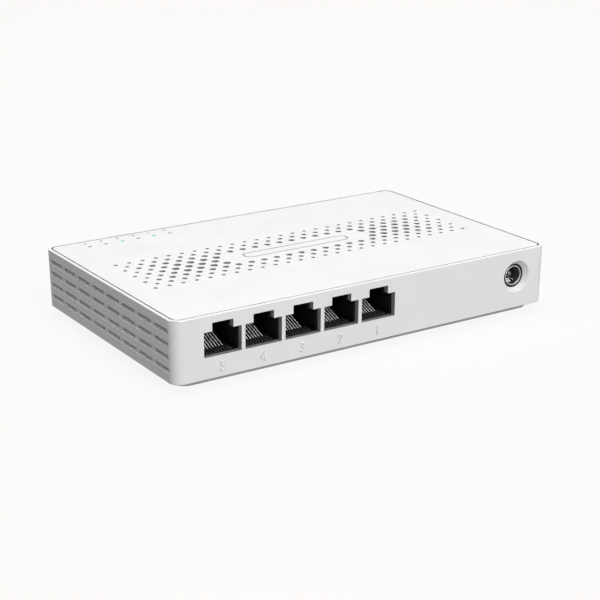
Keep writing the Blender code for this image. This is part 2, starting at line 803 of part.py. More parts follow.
def small_components():
    block("crystal", *CRYSTAL_PLACE, CRYSTAL_SIZE, bright_metal())
    block("flash_chip", *FLASH_PLACE, FLASH_SIZE, chip_resin())
    block("power_inductor", RIGHT - INDUCTOR_MARGIN, INDUCTOR_Y, INDUCTOR_SIZE, dark_aluminium())
    block("voltage_regulator", RIGHT - REGULATOR_MARGIN, REGULATOR_Y, REGULATOR_SIZE, chip_resin())
    block("input_diode", RIGHT - INPUT_MARGIN, FRONT + DIODE_DEPTH, DIODE_SIZE, chip_resin())
    block("input_fuse", RIGHT - INPUT_MARGIN, FRONT + FUSE_DEPTH, FUSE_SIZE, clear_plastic())


def capacitors():
    y = FRONT + CAPACITOR_DEPTH
    for index, margin in enumerate(CAPACITOR_MARGINS, start=1):
        x = RIGHT - margin
        shape = bmesh.new()
        add_cylinder(shape, (x, y, SEAT), (x, y, SEAT + CAPACITOR_HEIGHT), CAPACITOR_RADIUS, 16)
        smooth(part(f"capacitor_{index}", shape, dark_aluminium()))


def leds():
    for index, x in enumerate(LED_XS, start=1):
        block(f"led_{index}", x, LED_Y, LED_SIZE, led_lens())


def light_pipe_strip():
    """One clear moulding: a bar under the panel, a stem down to each LED and a tip up each hole."""
    shape = bmesh.new()
    top = PANEL_BOTTOM - GAP
    bottom = top - STRIP_THICKNESS
    low = (LED_XS[0] - STRIP_END, LED_Y - STRIP_WIDTH / 2, bottom)
    add_box(shape, low, (LED_XS[-1] + STRIP_END, LED_Y + STRIP_WIDTH / 2, top))
    strip = part("light_pipe_strip", shape, clear_plastic())
    stems = bmesh.new()
    tips = bmesh.new()
    for x in LED_XS:
        foot = (x, LED_Y, SEAT + PIPE_STEM_LIFT)
        add_cylinder(stems, foot, (x, LED_Y, bottom + JOIN_DEPTH), PIPE_STEM_RADIUS, 8)
        root = (x, LED_Y, top - JOIN_DEPTH)
        add_cylinder(tips, root, (x, LED_Y, BODY_TOP - PIPE_TIP_DROP), PIPE_RADIUS, 8)
    join(strip, "pipe_stems", stems)
    join(strip, "pipe_tips", tips)


# ---------------------------------------------------------------- ports

def port_housing():
    shape = bmesh.new()
    half = PORT_PITCH / 2 + HOUSING_END
    low = (PORT_XS[0] - half, HOUSING_FRONT, SEAT)
    add_box(shape, low, (PORT_XS[-1] + half, HOUSING_BACK, HOUSING_TOP))
    housing = part("port_housing", shape, black_plastic())

    mouths = bmesh.new()
    latches = bmesh.new()
    pockets = bmesh.new()
    bays = bmesh.new()
    front = HOUSING_FRONT - OVERCUT
    cavity_end = HOUSING_FRONT + CAVITY_DEPTH
    bay_front = cavity_end - COMB_REACH - GAP
    back = HOUSING_BACK + OVERCUT
    wide = MOUTH_WIDTH / 2
    narrow = LATCH_WIDTH / 2
    side = INSERT_HALF_WIDTH + GAP
    bottom = INSERT_BOTTOM - GAP
    for x in PORT_XS:
        add_box(mouths, (x - wide, front, PORT_FLOOR), (x + wide, cavity_end, MOUTH_TOP))
        add_box(latches, (x - narrow, front, MOUTH_TOP - OVERCUT), (x + narrow, cavity_end, LATCH_TOP))
        low = (x - side, HOUSING_FRONT + POCKET_FRONT, bottom)
        add_box(pockets, low, (x + side, back, PORT_FLOOR + GAP))
        low = (x - side, bay_front, bottom)
        add_box(bays, low, (x + side, back, PORT_FLOOR + INSERT_RISE + GAP))
    cut(housing, "port_mouths", mouths)
    cut(housing, "latch_grooves", latches)
    cut(housing, "contact_pockets", pockets)
    cut(housing, "insert_bays", bays)


def contact_insert(x, number):
    """The comb that guides the free ends of one port's wires, with its foot plate."""
    shape = bmesh.new()
    half = INSERT_HALF_WIDTH
    low = INSERT_BOTTOM
    comb_front = HOUSING_FRONT + CAVITY_DEPTH - COMB_REACH
    add_box(shape, (x - half, comb_front, low), (x + half, HOUSING_BACK, PORT_FLOOR + INSERT_RISE))
    insert = part(f"contact_insert_{number}", shape, black_plastic())

    plate = bmesh.new()
    plate_front = HOUSING_FRONT + WIRE_PIVOT_DEPTH + BAR_DEPTH
    add_box(plate, (x - half, plate_front, low), (x + half, comb_front + OVERCUT, low + INSERT_PLATE))
    join(insert, "insert_plate", plate)

    slots = bmesh.new()
    reach = WIRE_WIDTH / 2 + COMB_CLEARANCE
    slot_bottom = low + INSERT_PLATE + COMB_CLEARANCE
    slot_top = PORT_FLOOR + INSERT_RISE + OVERCUT
    for offset in WIRE_OFFSETS:
        middle = x + offset
        corner = (middle - reach, comb_front - OVERCUT, slot_bottom)
        add_box(slots, corner, (middle + reach, comb_front + COMB_SLOT_DEPTH, slot_top))
    cut(insert, "wire_slots", slots)


def contact_set(x, number):
    """Eight sprung wires on one bar. They swing about the bar, which lies under the port's floor."""
    pivot = Vector((x, HOUSING_FRONT + WIRE_PIVOT_DEPTH, PORT_FLOOR - WIRE_PIVOT_DROP))
    half = INSERT_HALF_WIDTH - BAR_SIDE
    shape = bmesh.new()
    low = pivot + Vector((-half, -BAR_DEPTH / 2, -BAR_BELOW))
    add_box(shape, low, pivot + Vector((half, BAR_DEPTH / 2, BAR_ABOVE)))
    contacts = part(f"contact_set_{number}", shape, contact_metal(), pivot)

    wires = bmesh.new()
    tilt = Matrix.Rotation(WIRE_SLOPE, 4, "X")
    along = Matrix.Translation((0.0, WIRE_LENGTH / 2 - WIRE_ROOT, 0.0))
    size = Matrix.Diagonal((WIRE_WIDTH, WIRE_LENGTH, WIRE_THICKNESS, 1.0))
    for offset in WIRE_OFFSETS:
        start = Matrix.Translation(pivot + Vector((offset, 0.0, 0.0)))
        bmesh.ops.create_cube(wires, size=1.0, matrix=start @ tilt @ along @ size)
    join(contacts, f"wires_{number}", wires)


def port_contacts():
    for index, x in enumerate(PORT_XS):
        number = PORT_COUNT - index
        contact_insert(x, number)
        contact_set(x, number)


# -------------------------------------------------------------- DC inlet

def on_jack_axis(y):
    return (JACK_X, y, JACK_Z)


def dc_jack_housing():
    shape = bmesh.new()
    half = JACK_NOSE_RADIUS + JACK_SIDE
    top = JACK_Z + JACK_NOSE_RADIUS + JACK_ROOF
    add_box(shape, (JACK_X - half, HOUSING_FRONT, SEAT), (JACK_X + half, JACK_BACK, top))
    housing = part("dc_jack_housing", shape, black_plastic())

    nose = bmesh.new()
    nose_root = HOUSING_FRONT + OVERCUT
    add_cylinder(nose, on_jack_axis(JACK_FRONT), on_jack_axis(nose_root), JACK_NOSE_RADIUS, 24)
    join(housing, "jack_nose", nose)

    bore = bmesh.new()
    add_cylinder(bore, on_jack_axis(FRONT), on_jack_axis(JACK_BORE_END), JACK_BORE_RADIUS, 24)
    cut(housing, "jack_bore", bore)

    channel = bmesh.new()
    side = LEAF_WIDTH / 2 + LEAF_ROOM
    low = (JACK_X - side, HOUSING_FRONT + CHANNEL_FRONT, JACK_Z - JACK_BORE_RADIUS - CHANNEL_DROP)
    high = (JACK_X + side, JACK_BORE_END, JACK_Z - JACK_BORE_RADIUS + CHANNEL_TOP)
    add_box(channel, low, high)
    cut(housing, "leaf_channel", channel)

    pin_hole = bmesh.new()
    start = on_jack_axis(JACK_BORE_END - OVERCUT)
    add_cylinder(pin_hole, start, on_jack_axis(JACK_BACK + OVERCUT), PIN_RADIUS + GAP, 12)
    cut(housing, "pin_hole", pin_hole)


def dc_jack_sleeve():
    """The metal tube in the bore, with a slot in its underside for the leaf."""
    front = JACK_FRONT + SLEEVE_SETBACK
    end = JACK_BORE_END - GAP
    shape = bmesh.new()
    add_cylinder(shape, on_jack_axis(front), on_jack_axis(end), SLEEVE_RADIUS, 24)
    sleeve = part("dc_jack_sleeve", shape, bright_metal())

    bore = bmesh.new()
    inner = SLEEVE_RADIUS - SLEEVE_WALL
    add_cylinder(bore, on_jack_axis(front - OVERCUT), on_jack_axis(end + OVERCUT), inner, 24)
    cut(sleeve, "sleeve_bore", bore)

    slot = bmesh.new()
    side = LEAF_WIDTH / 2 + GAP
    low = (JACK_X - side, HOUSING_FRONT + CHANNEL_FRONT, JACK_Z - SLEEVE_RADIUS - OVERCUT)
    high = (JACK_X + side, end + OVERCUT, JACK_Z - JACK_BORE_RADIUS + CHANNEL_TOP)
    add_box(slot, low, high)
    cut(sleeve, "sleeve_slot", slot)


def dc_jack_pin():
    shape = bmesh.new()
    start = on_jack_axis(JACK_FRONT + PIN_SETBACK)
    add_cylinder(shape, start, on_jack_axis(JACK_BACK), PIN_RADIUS, 12)
    smooth(part("dc_jack_pin", shape, bright_metal()))


def dc_jack_leaf():
    """A bent leaf spring under the bore. It swings about its rear end as a plug presses it down."""
    drop = JACK_BORE_RADIUS + LEAF_DROP
    pivot = Vector((JACK_X, HOUSING_FRONT + LEAF_PIVOT_DEPTH, JACK_Z - drop))
    half = LEAF_WIDTH / 2
    shape = bmesh.new()
    rows = []
    for along, rise in LEAF_BENDS:
        ends = [Vector((side * half, along, rise)) + pivot for side in (-1, 1)]
        rows.append([shape.verts.new(end) for end in ends])
    for near, far in zip(rows, rows[1:]):
        shape.faces.new((near[0], far[0], far[1], near[1]))
    leaf = part("dc_jack_leaf", shape, contact_metal(), pivot)
    solid = leaf.modifiers.new("thickness", "SOLIDIFY")
    solid.thickness = WIRE_THICKNESS
    solid.offset = 0.0


# ------------------------------------------------------------- assembly

def build():
    body_frame()
    top_panel()
    base_tray()
    rubber_feet()
    case_screws()
    circuit_board()
    board_screws()
    port_housing()
    port_contacts()
    dc_jack_housing()
    dc_jack_sleeve()
    dc_jack_pin()
    dc_jack_leaf()
    transformers()
    switch_chip_stack()
    small_components()
    capacitors()
    leds()
    light_pipe_strip()


build()
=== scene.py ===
"""Looks of the desktop network switch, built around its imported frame."""

import json
import math

import bmesh
import bpy
from mathutils import Matrix, Vector


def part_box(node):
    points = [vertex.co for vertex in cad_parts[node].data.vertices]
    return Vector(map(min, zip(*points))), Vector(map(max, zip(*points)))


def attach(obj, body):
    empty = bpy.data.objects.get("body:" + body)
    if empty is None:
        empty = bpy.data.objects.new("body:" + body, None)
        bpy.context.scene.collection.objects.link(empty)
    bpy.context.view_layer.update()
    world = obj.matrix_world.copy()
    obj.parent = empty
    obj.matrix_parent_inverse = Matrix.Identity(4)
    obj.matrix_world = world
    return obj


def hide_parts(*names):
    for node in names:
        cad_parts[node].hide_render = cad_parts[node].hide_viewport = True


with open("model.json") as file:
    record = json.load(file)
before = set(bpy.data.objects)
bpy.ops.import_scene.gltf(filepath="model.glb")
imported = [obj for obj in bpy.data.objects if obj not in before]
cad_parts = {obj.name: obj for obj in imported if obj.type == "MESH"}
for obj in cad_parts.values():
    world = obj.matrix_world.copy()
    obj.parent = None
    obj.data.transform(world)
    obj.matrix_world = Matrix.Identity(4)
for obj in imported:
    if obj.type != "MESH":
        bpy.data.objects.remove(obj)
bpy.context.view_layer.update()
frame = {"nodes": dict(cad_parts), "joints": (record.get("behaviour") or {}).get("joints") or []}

MM = 0.001

# Places and sizes read from the frame
BODY_LOW, BODY_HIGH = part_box("body_frame")
PANEL_LOW, PANEL_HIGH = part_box("top_panel")
TRAY_LOW, TRAY_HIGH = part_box("base_tray")
HOUSING_LOW, HOUSING_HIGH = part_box("port_housing")
BOARD_LOW, BOARD_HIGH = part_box("circuit_board")
JACK_LOW, JACK_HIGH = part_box("dc_jack_housing")
SLEEVE_LOW, SLEEVE_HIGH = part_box("dc_jack_sleeve")
PIN_LOW, PIN_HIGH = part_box("dc_jack_pin")
STRIP_LOW, STRIP_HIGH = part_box("light_pipe_strip")
JOINTS = {joint["name"]: joint for joint in frame["joints"]}

LEFT, FRONT, BODY_BOTTOM = BODY_LOW
RIGHT, BACK, BODY_TOP = BODY_HIGH
BOARD_TOP = BOARD_HIGH.z
HOUSING_FRONT = HOUSING_LOW.y
PORT_COUNT = 5
PORT_NUMBERS = range(1, PORT_COUNT + 1)
PORT_XS = {n: Vector(JOINTS[f"port_{n}_contact_bend"]["pos_m"]).x for n in PORT_NUMBERS}
JACK_X = (SLEEVE_LOW.x + SLEEVE_HIGH.x) / 2
JACK_Z = (SLEEVE_LOW.z + SLEEVE_HIGH.z) / 2
LED_XS = [(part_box(f"led_{n}")[0].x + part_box(f"led_{n}")[1].x) / 2 for n in range(1, 7)]
LED_Y = (STRIP_LOW.y + STRIP_HIGH.y) / 2
LIT_LEDS = (2, 4)

# Case shell
WALL = 2.0 * MM
CORNER_RADIUS = 3.7 * MM
RIM = 1.1 * MM
DRAFT = 0.25 * MM
TOP_FILLET = 0.2 * MM
BOTTOM_FILLET = 0.3 * MM
POCKET_DEPTH = 2.1 * MM
EDGE_BREAK = 0.09 * MM
BASE_INSET = 3.3 * MM
BASE_RADIUS = 4.5 * MM
BOARD_SCREW_INSET = (5.5 * MM, 8.5 * MM)
FOOT_INSET = 14.0 * MM
PANEL_SINK = 0.03 * MM
PANEL_THICKNESS = 1.8 * MM
PANEL_RADIUS = 2.35 * MM
SEAM_EASE = 0.13 * MM
DIGIT_HEIGHT = 3.3 * MM
DIGIT_RELIEF = 0.19 * MM
DIGIT_CHAMFER = 0.15 * MM

# Base: bosses for the case screws, posts for the board, recesses for the feet, and slots
BOSS_INSET = 6.4 * MM
BOSS_RADIUS = 3.4 * MM
POST_RADIUS = 2.2 * MM
SCREW_HOLE_RADIUS = 1.3 * MM
SCREW_HEAD_RADIUS = 2.3 * MM
FOOT_RECESS_RADIUS = 4.5 * MM
BASE_SLOT_COUNT = 9
BASE_SLOT_PITCH = 6.5 * MM
BASE_SLOT_HALF_LENGTH = 6.0 * MM

# Ports
PORT_FLOOR = BOARD_TOP + 2.5 * MM
WINDOW_WIDTH = 12.7 * MM
WINDOW_HEIGHT = 7.8 * MM
WINDOW_LATCH_WIDTH = 7.1 * MM
WINDOW_LATCH_HEIGHT = 2.6 * MM
MOUTH_WIDTH = 11.9 * MM
MOUTH_HEIGHT = 7.3 * MM
LATCH_WIDTH = 6.3 * MM
LATCH_HEIGHT = 2.5 * MM
CAVITY_DEPTH = 12.5 * MM
FUNNEL_HALF = 4.6 * MM
RIDGE_HALF = 0.17 * MM
RIDGE_FRONT = 0.25 * MM
RIDGE_BACK = 3.8 * MM
RIDGE_HEIGHT = 0.35 * MM
WIRE_COUNT = 8
WIRE_PITCH = 1.016 * MM
WIRE_RADIUS = 0.17 * MM
WIRE_REACH = 8.0 * MM
WIRE_SLOPE = math.radians(20.5)

# DC inlet
MOUTH_RADIUS = 5.5 * MM
NOSE_HOLE_RADIUS = 4.05 * MM
CONE_DEPTH = 1.6 * MM
SLEEVE_OUTER = 3.3 * MM
SLEEVE_INNER = 3.0 * MM
BORE_RADIUS = 3.5 * MM
BORE_BACK_WALL = 3.0 * MM
CHANNEL_FRONT = 1.4 * MM
CHANNEL_TOP = 2.0 * MM
LEAF_ROOM = 0.5 * MM

# Vents in the cover, and the closed groove they keep clear of
VENT_ROWS = 9
VENT_PITCH_X = 4.79 * MM
VENT_PITCH_Y = 3.4 * MM
VENT_MARGIN = 10.8 * MM
VENT_DIAMETERS = (1.4 * MM, 1.75 * MM, 2.15 * MM, 2.5 * MM)
NAMEPLATE_HALF_WIDTH = 27.0 * MM
NAMEPLATE_HALF_HEIGHT = 5.0 * MM
LOOP_HALF_X = 19.9 * MM
LOOP_HALF_Y = 2.0 * MM
LOOP_LINE = 0.6 * MM
LOOP_DEPTH = 0.35 * MM
INDICATOR_HOLE_RADIUS = 0.68 * MM
MARK_OFFSET = 3.9 * MM

# Grooves and slots in the sides
GROOVE_COUNT = 4
GROOVE_HEIGHT = 1.65 * MM
GROOVE_DEPTH = 0.45 * MM
GROOVE_END = 2.95 * MM
GROOVE_PITCH = (BODY_TOP - BODY_BOTTOM) / 4.95
SLOT_COUNT = 8
SLOT_PITCH = (BACK - FRONT - 2 * GROOVE_END) / SLOT_COUNT
SLOT_RIB = 2.4 * MM

# View: where the camera stands and its lens
VIEW_AZIMUTH = math.radians(-33.143)
VIEW_ELEVATION = math.radians(18.864)
VIEW_DISTANCE = 485.3 * MM
VIEW_LENS = 86.95
VIEW_SHIFT_RIGHT = 1.2 * MM
VIEW_SHIFT_DOWN = 8.6 * MM


# ------------------------------------------------------------ materials

def surface(
    name,
    colours,
    roughness,
    grain=900.0,
    bump=0.05,
    metallic=0.0,
    stretch=(1.0, 1.0, 1.0),
    coat=0.0,
    specular=0.5,
):
    """A procedural finish: colour mottled between two shades, with uneven gloss and a fine grain."""
    made = bpy.data.materials.new(name)
    made.use_nodes = True
    nodes = made.node_tree.nodes
    links = made.node_tree.links
    shader = nodes["Principled BSDF"]
    shader.inputs["Metallic"].default_value = metallic
    shader.inputs["Coat Weight"].default_value = coat
    shader.inputs["Coat Roughness"].default_value = 0.15
    shader.inputs["Specular IOR Level"].default_value = specular

    place = nodes.new("ShaderNodeTexCoord")
    scale = nodes.new("ShaderNodeMapping")
    scale.inputs["Scale"].default_value = stretch
    links.new(place.outputs["Object"], scale.inputs["Vector"])

    mottle = nodes.new("ShaderNodeTexNoise")
    mottle.inputs["Scale"].default_value = grain / 6
    mottle.inputs["Detail"].default_value = 4.0
    links.new(scale.outputs["Vector"], mottle.inputs["Vector"])
    shades = nodes.new("ShaderNodeValToRGB")
    shades.color_ramp.elements[0].position = 0.3
    shades.color_ramp.elements[0].color = (*colours[0], 1.0)
    shades.color_ramp.elements[1].position = 0.7
    shades.color_ramp.elements[1].color = (*colours[1], 1.0)
    links.new(mottle.outputs["Fac"], shades.inputs["Fac"])
    links.new(shades.outputs["Color"], shader.inputs["Base Color"])

    gloss = nodes.new("ShaderNodeMapRange")
    gloss.inputs["To Min"].default_value = roughness[0]
    gloss.inputs["To Max"].default_value = roughness[1]
    links.new(mottle.outputs["Fac"], gloss.inputs["Value"])
    links.new(gloss.outputs["Result"], shader.inputs["Roughness"])

    fine = nodes.new("ShaderNodeTexNoise")
    fine.inputs["Scale"].default_value = grain * 4
    fine.inputs["Detail"].default_value = 2.0
    links.new(scale.outputs["Vector"], fine.inputs["Vector"])
    relief = nodes.new("ShaderNodeBump")
    relief.inputs["Strength"].default_value = bump
    relief.inputs["Distance"].default_value = 0.02 * MM
    links.new(fine.outputs["Fac"], relief.inputs["Height"])
    links.new(relief.outputs["Normal"], shader.inputs["Normal"])
    return made


def glowing(name, colour, strength):
    made = surface(name, (colour, colour), (0.2, 0.3))
    shader = made.node_tree.nodes["Principled BSDF"]
    shader.inputs["Emission Color"].default_value = (*colour, 1.0)
    shader.inputs["Emission Strength"].default_value = strength
    return made


def case_finish():
    return surface("case_white", ((0.71, 0.71, 0.71), (0.735, 0.735, 0.732)), (0.42, 0.52), 700.0, 0.12)


# Painted shade: a grey copy of the white case plastic, laid on the walls of the port windows, the name
# groove, the left sides of the port numbers and the tray's sides.
def recess_finish():
    return surface("case_painted_shade", ((0.36, 0.36, 0.36), (0.4, 0.4, 0.4)), (0.55, 0.65), 700.0, 0.12)


# Painted shade: a darker grey copy of the case plastic, laid on the floors of the port windows and on the
# walls of the holes in the cover.
def vent_finish():
    return surface("case_painted_deep_shade", ((0.21, 0.21, 0.21), (0.25, 0.25, 0.25)), (0.55, 0.65), 700.0, 0.12)


# Painted shade: a near-black copy of the case plastic, laid on the rim's inner wall and ledge and on the
# cover's upright edge, in the gap between them.
def seam_finish():
    return surface("case_painted_gap_shade", ((0.06, 0.06, 0.06), (0.08, 0.08, 0.08)), (0.7, 0.8), 700.0, 0.12)


def black_finish():
    return surface(
        "moulded_black", ((0.004, 0.004, 0.004), (0.008, 0.008, 0.008)), (0.4, 0.5), 1200.0, 0.1, specular=0.2
    )


# Painted highlight: a lighter grey copy of the black socket plastic, laid on the ridges between the wires.
def ridge_finish():
    return surface("moulded_black_painted_highlight", ((0.06, 0.06, 0.06), (0.08, 0.08, 0.08)), (0.45, 0.55), 1200.0, 0.1)


def rubber_finish():
    return surface("rubber_black", ((0.015, 0.015, 0.015), (0.03, 0.03, 0.03)), (0.75, 0.9), 1500.0, 0.35)


def wire_finish():
    shades = ((0.94, 0.94, 0.93), (0.98, 0.98, 0.97))
    return surface("wire_plated", shades, (0.4, 0.5), 800.0, 0.08, 0.1, (1.0, 0.1, 1.0))


def plated_finish():
    shades = ((0.66, 0.67, 0.67), (0.82, 0.82, 0.81))
    return surface("metal_plated", shades, (0.32, 0.45), 700.0, 0.1, 0.6, (1.0, 0.2, 1.0))


# Painted shade: a dark copy of the plated metal, laid on the inner wall of the jack's bore and on the pin
# deep inside it.
def pin_finish():
    shades = ((0.16, 0.16, 0.17), (0.24, 0.24, 0.24))
    return surface("metal_painted_bore_shade", shades, (0.42, 0.55), 700.0, 0.1, 0.8, (1.0, 0.2, 1.0))


def aluminium_finish():
    shades = ((0.08, 0.08, 0.085), (0.14, 0.14, 0.15))
    return surface("aluminium_dark", shades, (0.35, 0.5), 900.0, 0.2, 1.0, (1.0, 0.1, 1.0))


def resin_finish():
    shades = ((0.012, 0.012, 0.013), (0.028, 0.028, 0.03))
    return surface("resin_moulded", shades, (0.45, 0.6), 1600.0, 0.3)


def pad_finish():
    return surface("pad_grey", ((0.28, 0.29, 0.3), (0.38, 0.39, 0.41)), (0.7, 0.85), 1200.0, 0.3)


def board_finish():
    """Solder mask with lighter copper runs under it."""
    made = surface("board_green", ((0.008, 0.06, 0.025), (0.015, 0.09, 0.04)), (0.25, 0.4), 600.0, 0.1)
    nodes = made.node_tree.nodes
    links = made.node_tree.links
    runs = nodes.new("ShaderNodeTexBrick")
    runs.inputs["Scale"].default_value = 160.0
    runs.inputs["Mortar Size"].default_value = 0.09
    runs.inputs["Color1"].default_value = (0.008, 0.06, 0.025, 1.0)
    runs.inputs["Color2"].default_value = (0.014, 0.085, 0.036, 1.0)
    runs.inputs["Mortar"].default_value = (0.05, 0.2, 0.09, 1.0)
    place = next(node for node in nodes if node.type == "TEX_COORD")
    links.new(place.outputs["Object"], runs.inputs["Vector"])
    links.new(runs.outputs["Color"], nodes["Principled BSDF"].inputs["Base Color"])
    return made


def lens_finish():
    shades = ((0.34, 0.37, 0.36), (0.42, 0.44, 0.43))
    return surface("lens_clear", shades, (0.12, 0.2), 600.0, 0.05, coat=0.4)


def ink_finish():
    return surface("ink_grey", ((0.1, 0.11, 0.11), (0.15, 0.16, 0.16)), (0.5, 0.6), 2500.0, 0.1)


CASE = case_finish()
PAINTED_SHADE = recess_finish()
PAINTED_DEEP_SHADE = vent_finish()
PAINTED_GAP_SHADE = seam_finish()
BLACK = black_finish()
PAINTED_RIDGE_HIGHLIGHT = ridge_finish()
RUBBER = rubber_finish()
WIRE = wire_finish()
PLATED = plated_finish()
PAINTED_BORE_SHADE = pin_finish()
ALUMINIUM = aluminium_finish()
RESIN = resin_finish()
PAD = pad_finish()
BOARD = board_finish()
LENS = lens_finish()
INK = ink_finish()
LIT = glowing("lens_lit_green", (0.02, 0.5, 0.2), 1.2)


# --------------------------------------------------------------- shapes

def new_piece(name, shape, finish):
    mesh = bpy.data.meshes.new(name)
    shape.to_mesh(mesh)
    shape.free()
    if finish:
        mesh.materials.append(finish)
    piece = bpy.data.objects.new(name, mesh)
    bpy.context.scene.collection.objects.link(piece)
    return piece


def add_box(shape, low, high):
    low = Vector(low)
    high = Vector(high)
    place = Matrix.Translation((low + high) / 2) @ Matrix.Diagonal((*(high - low), 1.0))
    bmesh.ops.create_cube(shape, size=1.0, matrix=place)


def add_cylinder(shape, start, end, radius, sides, end_radius=None):
    start = Vector(start)
    end = Vector(end)
    axis = end - start
    turn = axis.to_track_quat("Z", "Y").to_matrix().to_4x4()
    bmesh.ops.create_cone(
        shape,
        cap_ends=True,
        segments=sides,
        radius1=radius,
        radius2=radius if end_radius is None else end_radius,
        depth=axis.length,
        matrix=Matrix.Translation((start + end) / 2) @ turn,
    )


def outline(half_x, half_y, radius, z, steps=12):
    """Points of a rounded rectangle about the origin, anticlockwise from above."""
    points = []
    for quarter, (side, end) in enumerate(((1, 1), (-1, 1), (-1, -1), (1, -1))):
        for step in range(steps + 1):
            angle = (quarter + step / steps) * math.pi / 2
            x = side * (half_x - radius) + radius * math.cos(angle)
            y = end * (half_y - radius) + radius * math.sin(angle)
            points.append(Vector((x, y, z)))
    return points


def loft(shape, sections, joined=False):
    """Skins a list of outlines. The ends are capped, or joined to each other as a ring."""
    rows = [[shape.verts.new(point) for point in section] for section in sections]
    pairs = list(zip(rows, rows[1:]))
    if joined:
        pairs.append((rows[-1], rows[0]))
    for low, high in pairs:
        for index in range(len(low)):
            after = (index + 1) % len(low)
            shape.faces.new((low[index], low[after], high[after], high[index]))
    if not joined:
        shape.faces.new(list(reversed(rows[0])))
        shape.faces.new(rows[-1])
    bmesh.ops.recalc_face_normals(shape, faces=shape.faces)


def turned(centre, profile, sides=64):
    """Rings about the Y axis through centre, to skin. The profile is (radius, y) from end to end."""
    rows = []
    for radius, y in profile:
        row = []
        for index in range(sides):
            angle = 2 * math.pi * index / sides
            place = (centre.x + radius * math.cos(angle), y, centre.z + radius * math.sin(angle))
            row.append(Vector(place))
        rows.append(row)
    return rows


def upright_rings(x, y, profile, sides):
    """Rings about an upright axis, to skin. The profile is (radius, z) from bottom to top."""
    rows = []
    for radius, z in profile:
        row = []
        for index in range(sides):
            angle = 2 * math.pi * index / sides
            row.append(Vector((x + radius * math.cos(angle), y + radius * math.sin(angle), z)))
        rows.append(row)
    return rows


def evaluated_mesh(obj):
    bpy.context.view_layer.update()
    graph = bpy.context.evaluated_depsgraph_get()
    return bpy.data.meshes.new_from_object(obj.evaluated_get(graph))


def combine(piece, shape, operation="DIFFERENCE"):
    """Cuts or joins the shape into the piece at once."""
    helper = new_piece("helper", shape, None)
    modifier = piece.modifiers.new("combine", "BOOLEAN")
    modifier.operation = operation
    modifier.object = helper
    modifier.solver = "EXACT"
    made = evaluated_mesh(piece)
    piece.modifiers.clear()
    piece.data = made
    bpy.data.objects.remove(helper, do_unlink=True)


def soften(piece, width=EDGE_BREAK, segments=2, angle=35.0):
    """Rounds the sharp edges, and lets the large faces shade flat."""
    piece.data.shade_smooth()
    edge = piece.modifiers.new("edges", "BEVEL")
    edge.width = width
    edge.segments = segments
    edge.limit_method = "ANGLE"
    edge.angle_limit = math.radians(angle)
    edge.use_clamp_overlap = True
    flat = piece.modifiers.new("flat", "WEIGHTED_NORMAL")
    flat.weight = 100
    flat.keep_sharp = True


def finish_piece(piece, body, nodes=()):
    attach(piece, body)
    if nodes:
        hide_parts(*nodes)
    return piece


def text_shape(words, size, depth, place, weight=0.0, chamfer=0.0):
    """A number as a solid of that depth, laid out by the matrix place."""
    curve = bpy.data.curves.new("words", "FONT")
    curve.body = words
    curve.size = size
    curve.extrude = depth / 2 - chamfer
    curve.bevel_depth = chamfer
    curve.bevel_resolution = 0
    curve.offset = weight
    curve.align_x = "CENTER"
    curve.align_y = "CENTER"
    curve.resolution_u = 4
    helper = bpy.data.objects.new("words", curve)
    bpy.context.scene.collection.objects.link(helper)
    mesh = evaluated_mesh(helper)
    bpy.data.objects.remove(helper, do_unlink=True)
    shape = bmesh.new()
    shape.from_mesh(mesh)
    bmesh.ops.remove_doubles(shape, verts=shape.verts, dist=1e-6)
    bmesh.ops.transform(shape, matrix=place, verts=shape.verts)
    bmesh.ops.recalc_face_normals(shape, faces=shape.faces)
    return shape


# ----------------------------------------------------------------- case

def plate_outline(inset, radius, z):
    return outline(RIGHT - inset, BACK - inset, radius, z)


def case_outline(inset, z):
    return plate_outline(inset, max(CORNER_RADIUS - inset, 0.4 * MM), z)


def draft_at(z):
    """How far the walls have drawn in at a height, from none at the top to DRAFT at the bottom."""
    return DRAFT * (BODY_TOP - z) / (BODY_TOP - BODY_BOTTOM)


def tint(piece, finish, holds):
    """Paints shade, or in one place a highlight, as another material on the faces that the test picks by
    their centre and normal.
    """
    slot = len(piece.data.materials)
    piece.data.materials.append(finish)
    for face in piece.data.polygons:
        if holds(face.center, face.normal):
            face.material_index = slot


def in_rim_seam(centre, normal):
    """The inner wall and the ledge of the pocket that the cover lies in."""
    in_pocket = BODY_TOP - POCKET_DEPTH - 0.05 * MM < centre.z < BODY_TOP - 0.1 * MM
    return in_pocket and not on_outside(centre) and normal.z < 0.9 or is_ledge(centre)


def is_ledge(centre):
    return abs(centre.z - (BODY_TOP - POCKET_DEPTH)) < 0.05 * MM


def on_outside(centre):
    return abs(centre.x) > RIGHT - RIM / 2 or abs(centre.y) > BACK - RIM / 2


def in_cover_seam(centre, normal):
    """The upright edge of the cover."""
    edge = abs(centre.x) > RIGHT - RIM - MM or abs(centre.y) > BACK - RIM - MM
    return edge and abs(normal.z) < 0.6


def in_name_groove(centre, normal):
    near = abs(centre.x) < 21.5 * MM and abs(centre.y) < 3 * MM
    return near and centre.z < PANEL_HIGH.z - PANEL_SINK - 0.05 * MM and normal.z > -0.5


def in_port_window(centre, normal):
    in_wall = FRONT + DRAFT < centre.y < FRONT + WALL - 0.05 * MM
    beside_jack = centre.x < JACK_X - MOUTH_RADIUS - MM
    at_height = PORT_FLOOR - 0.2 * MM < centre.z < BODY_TOP - 2 * MM
    return in_wall and beside_jack and at_height and abs(normal.y) < 0.3


def in_ridge(centre, normal):
    """The ridges between the wires, where they stand above the socket's floor."""
    near_front = HOUSING_FRONT + 0.1 * MM < centre.y < HOUSING_FRONT + 3.9 * MM
    return near_front and PORT_FLOOR + 0.02 * MM < centre.z < PORT_FLOOR + 0.4 * MM


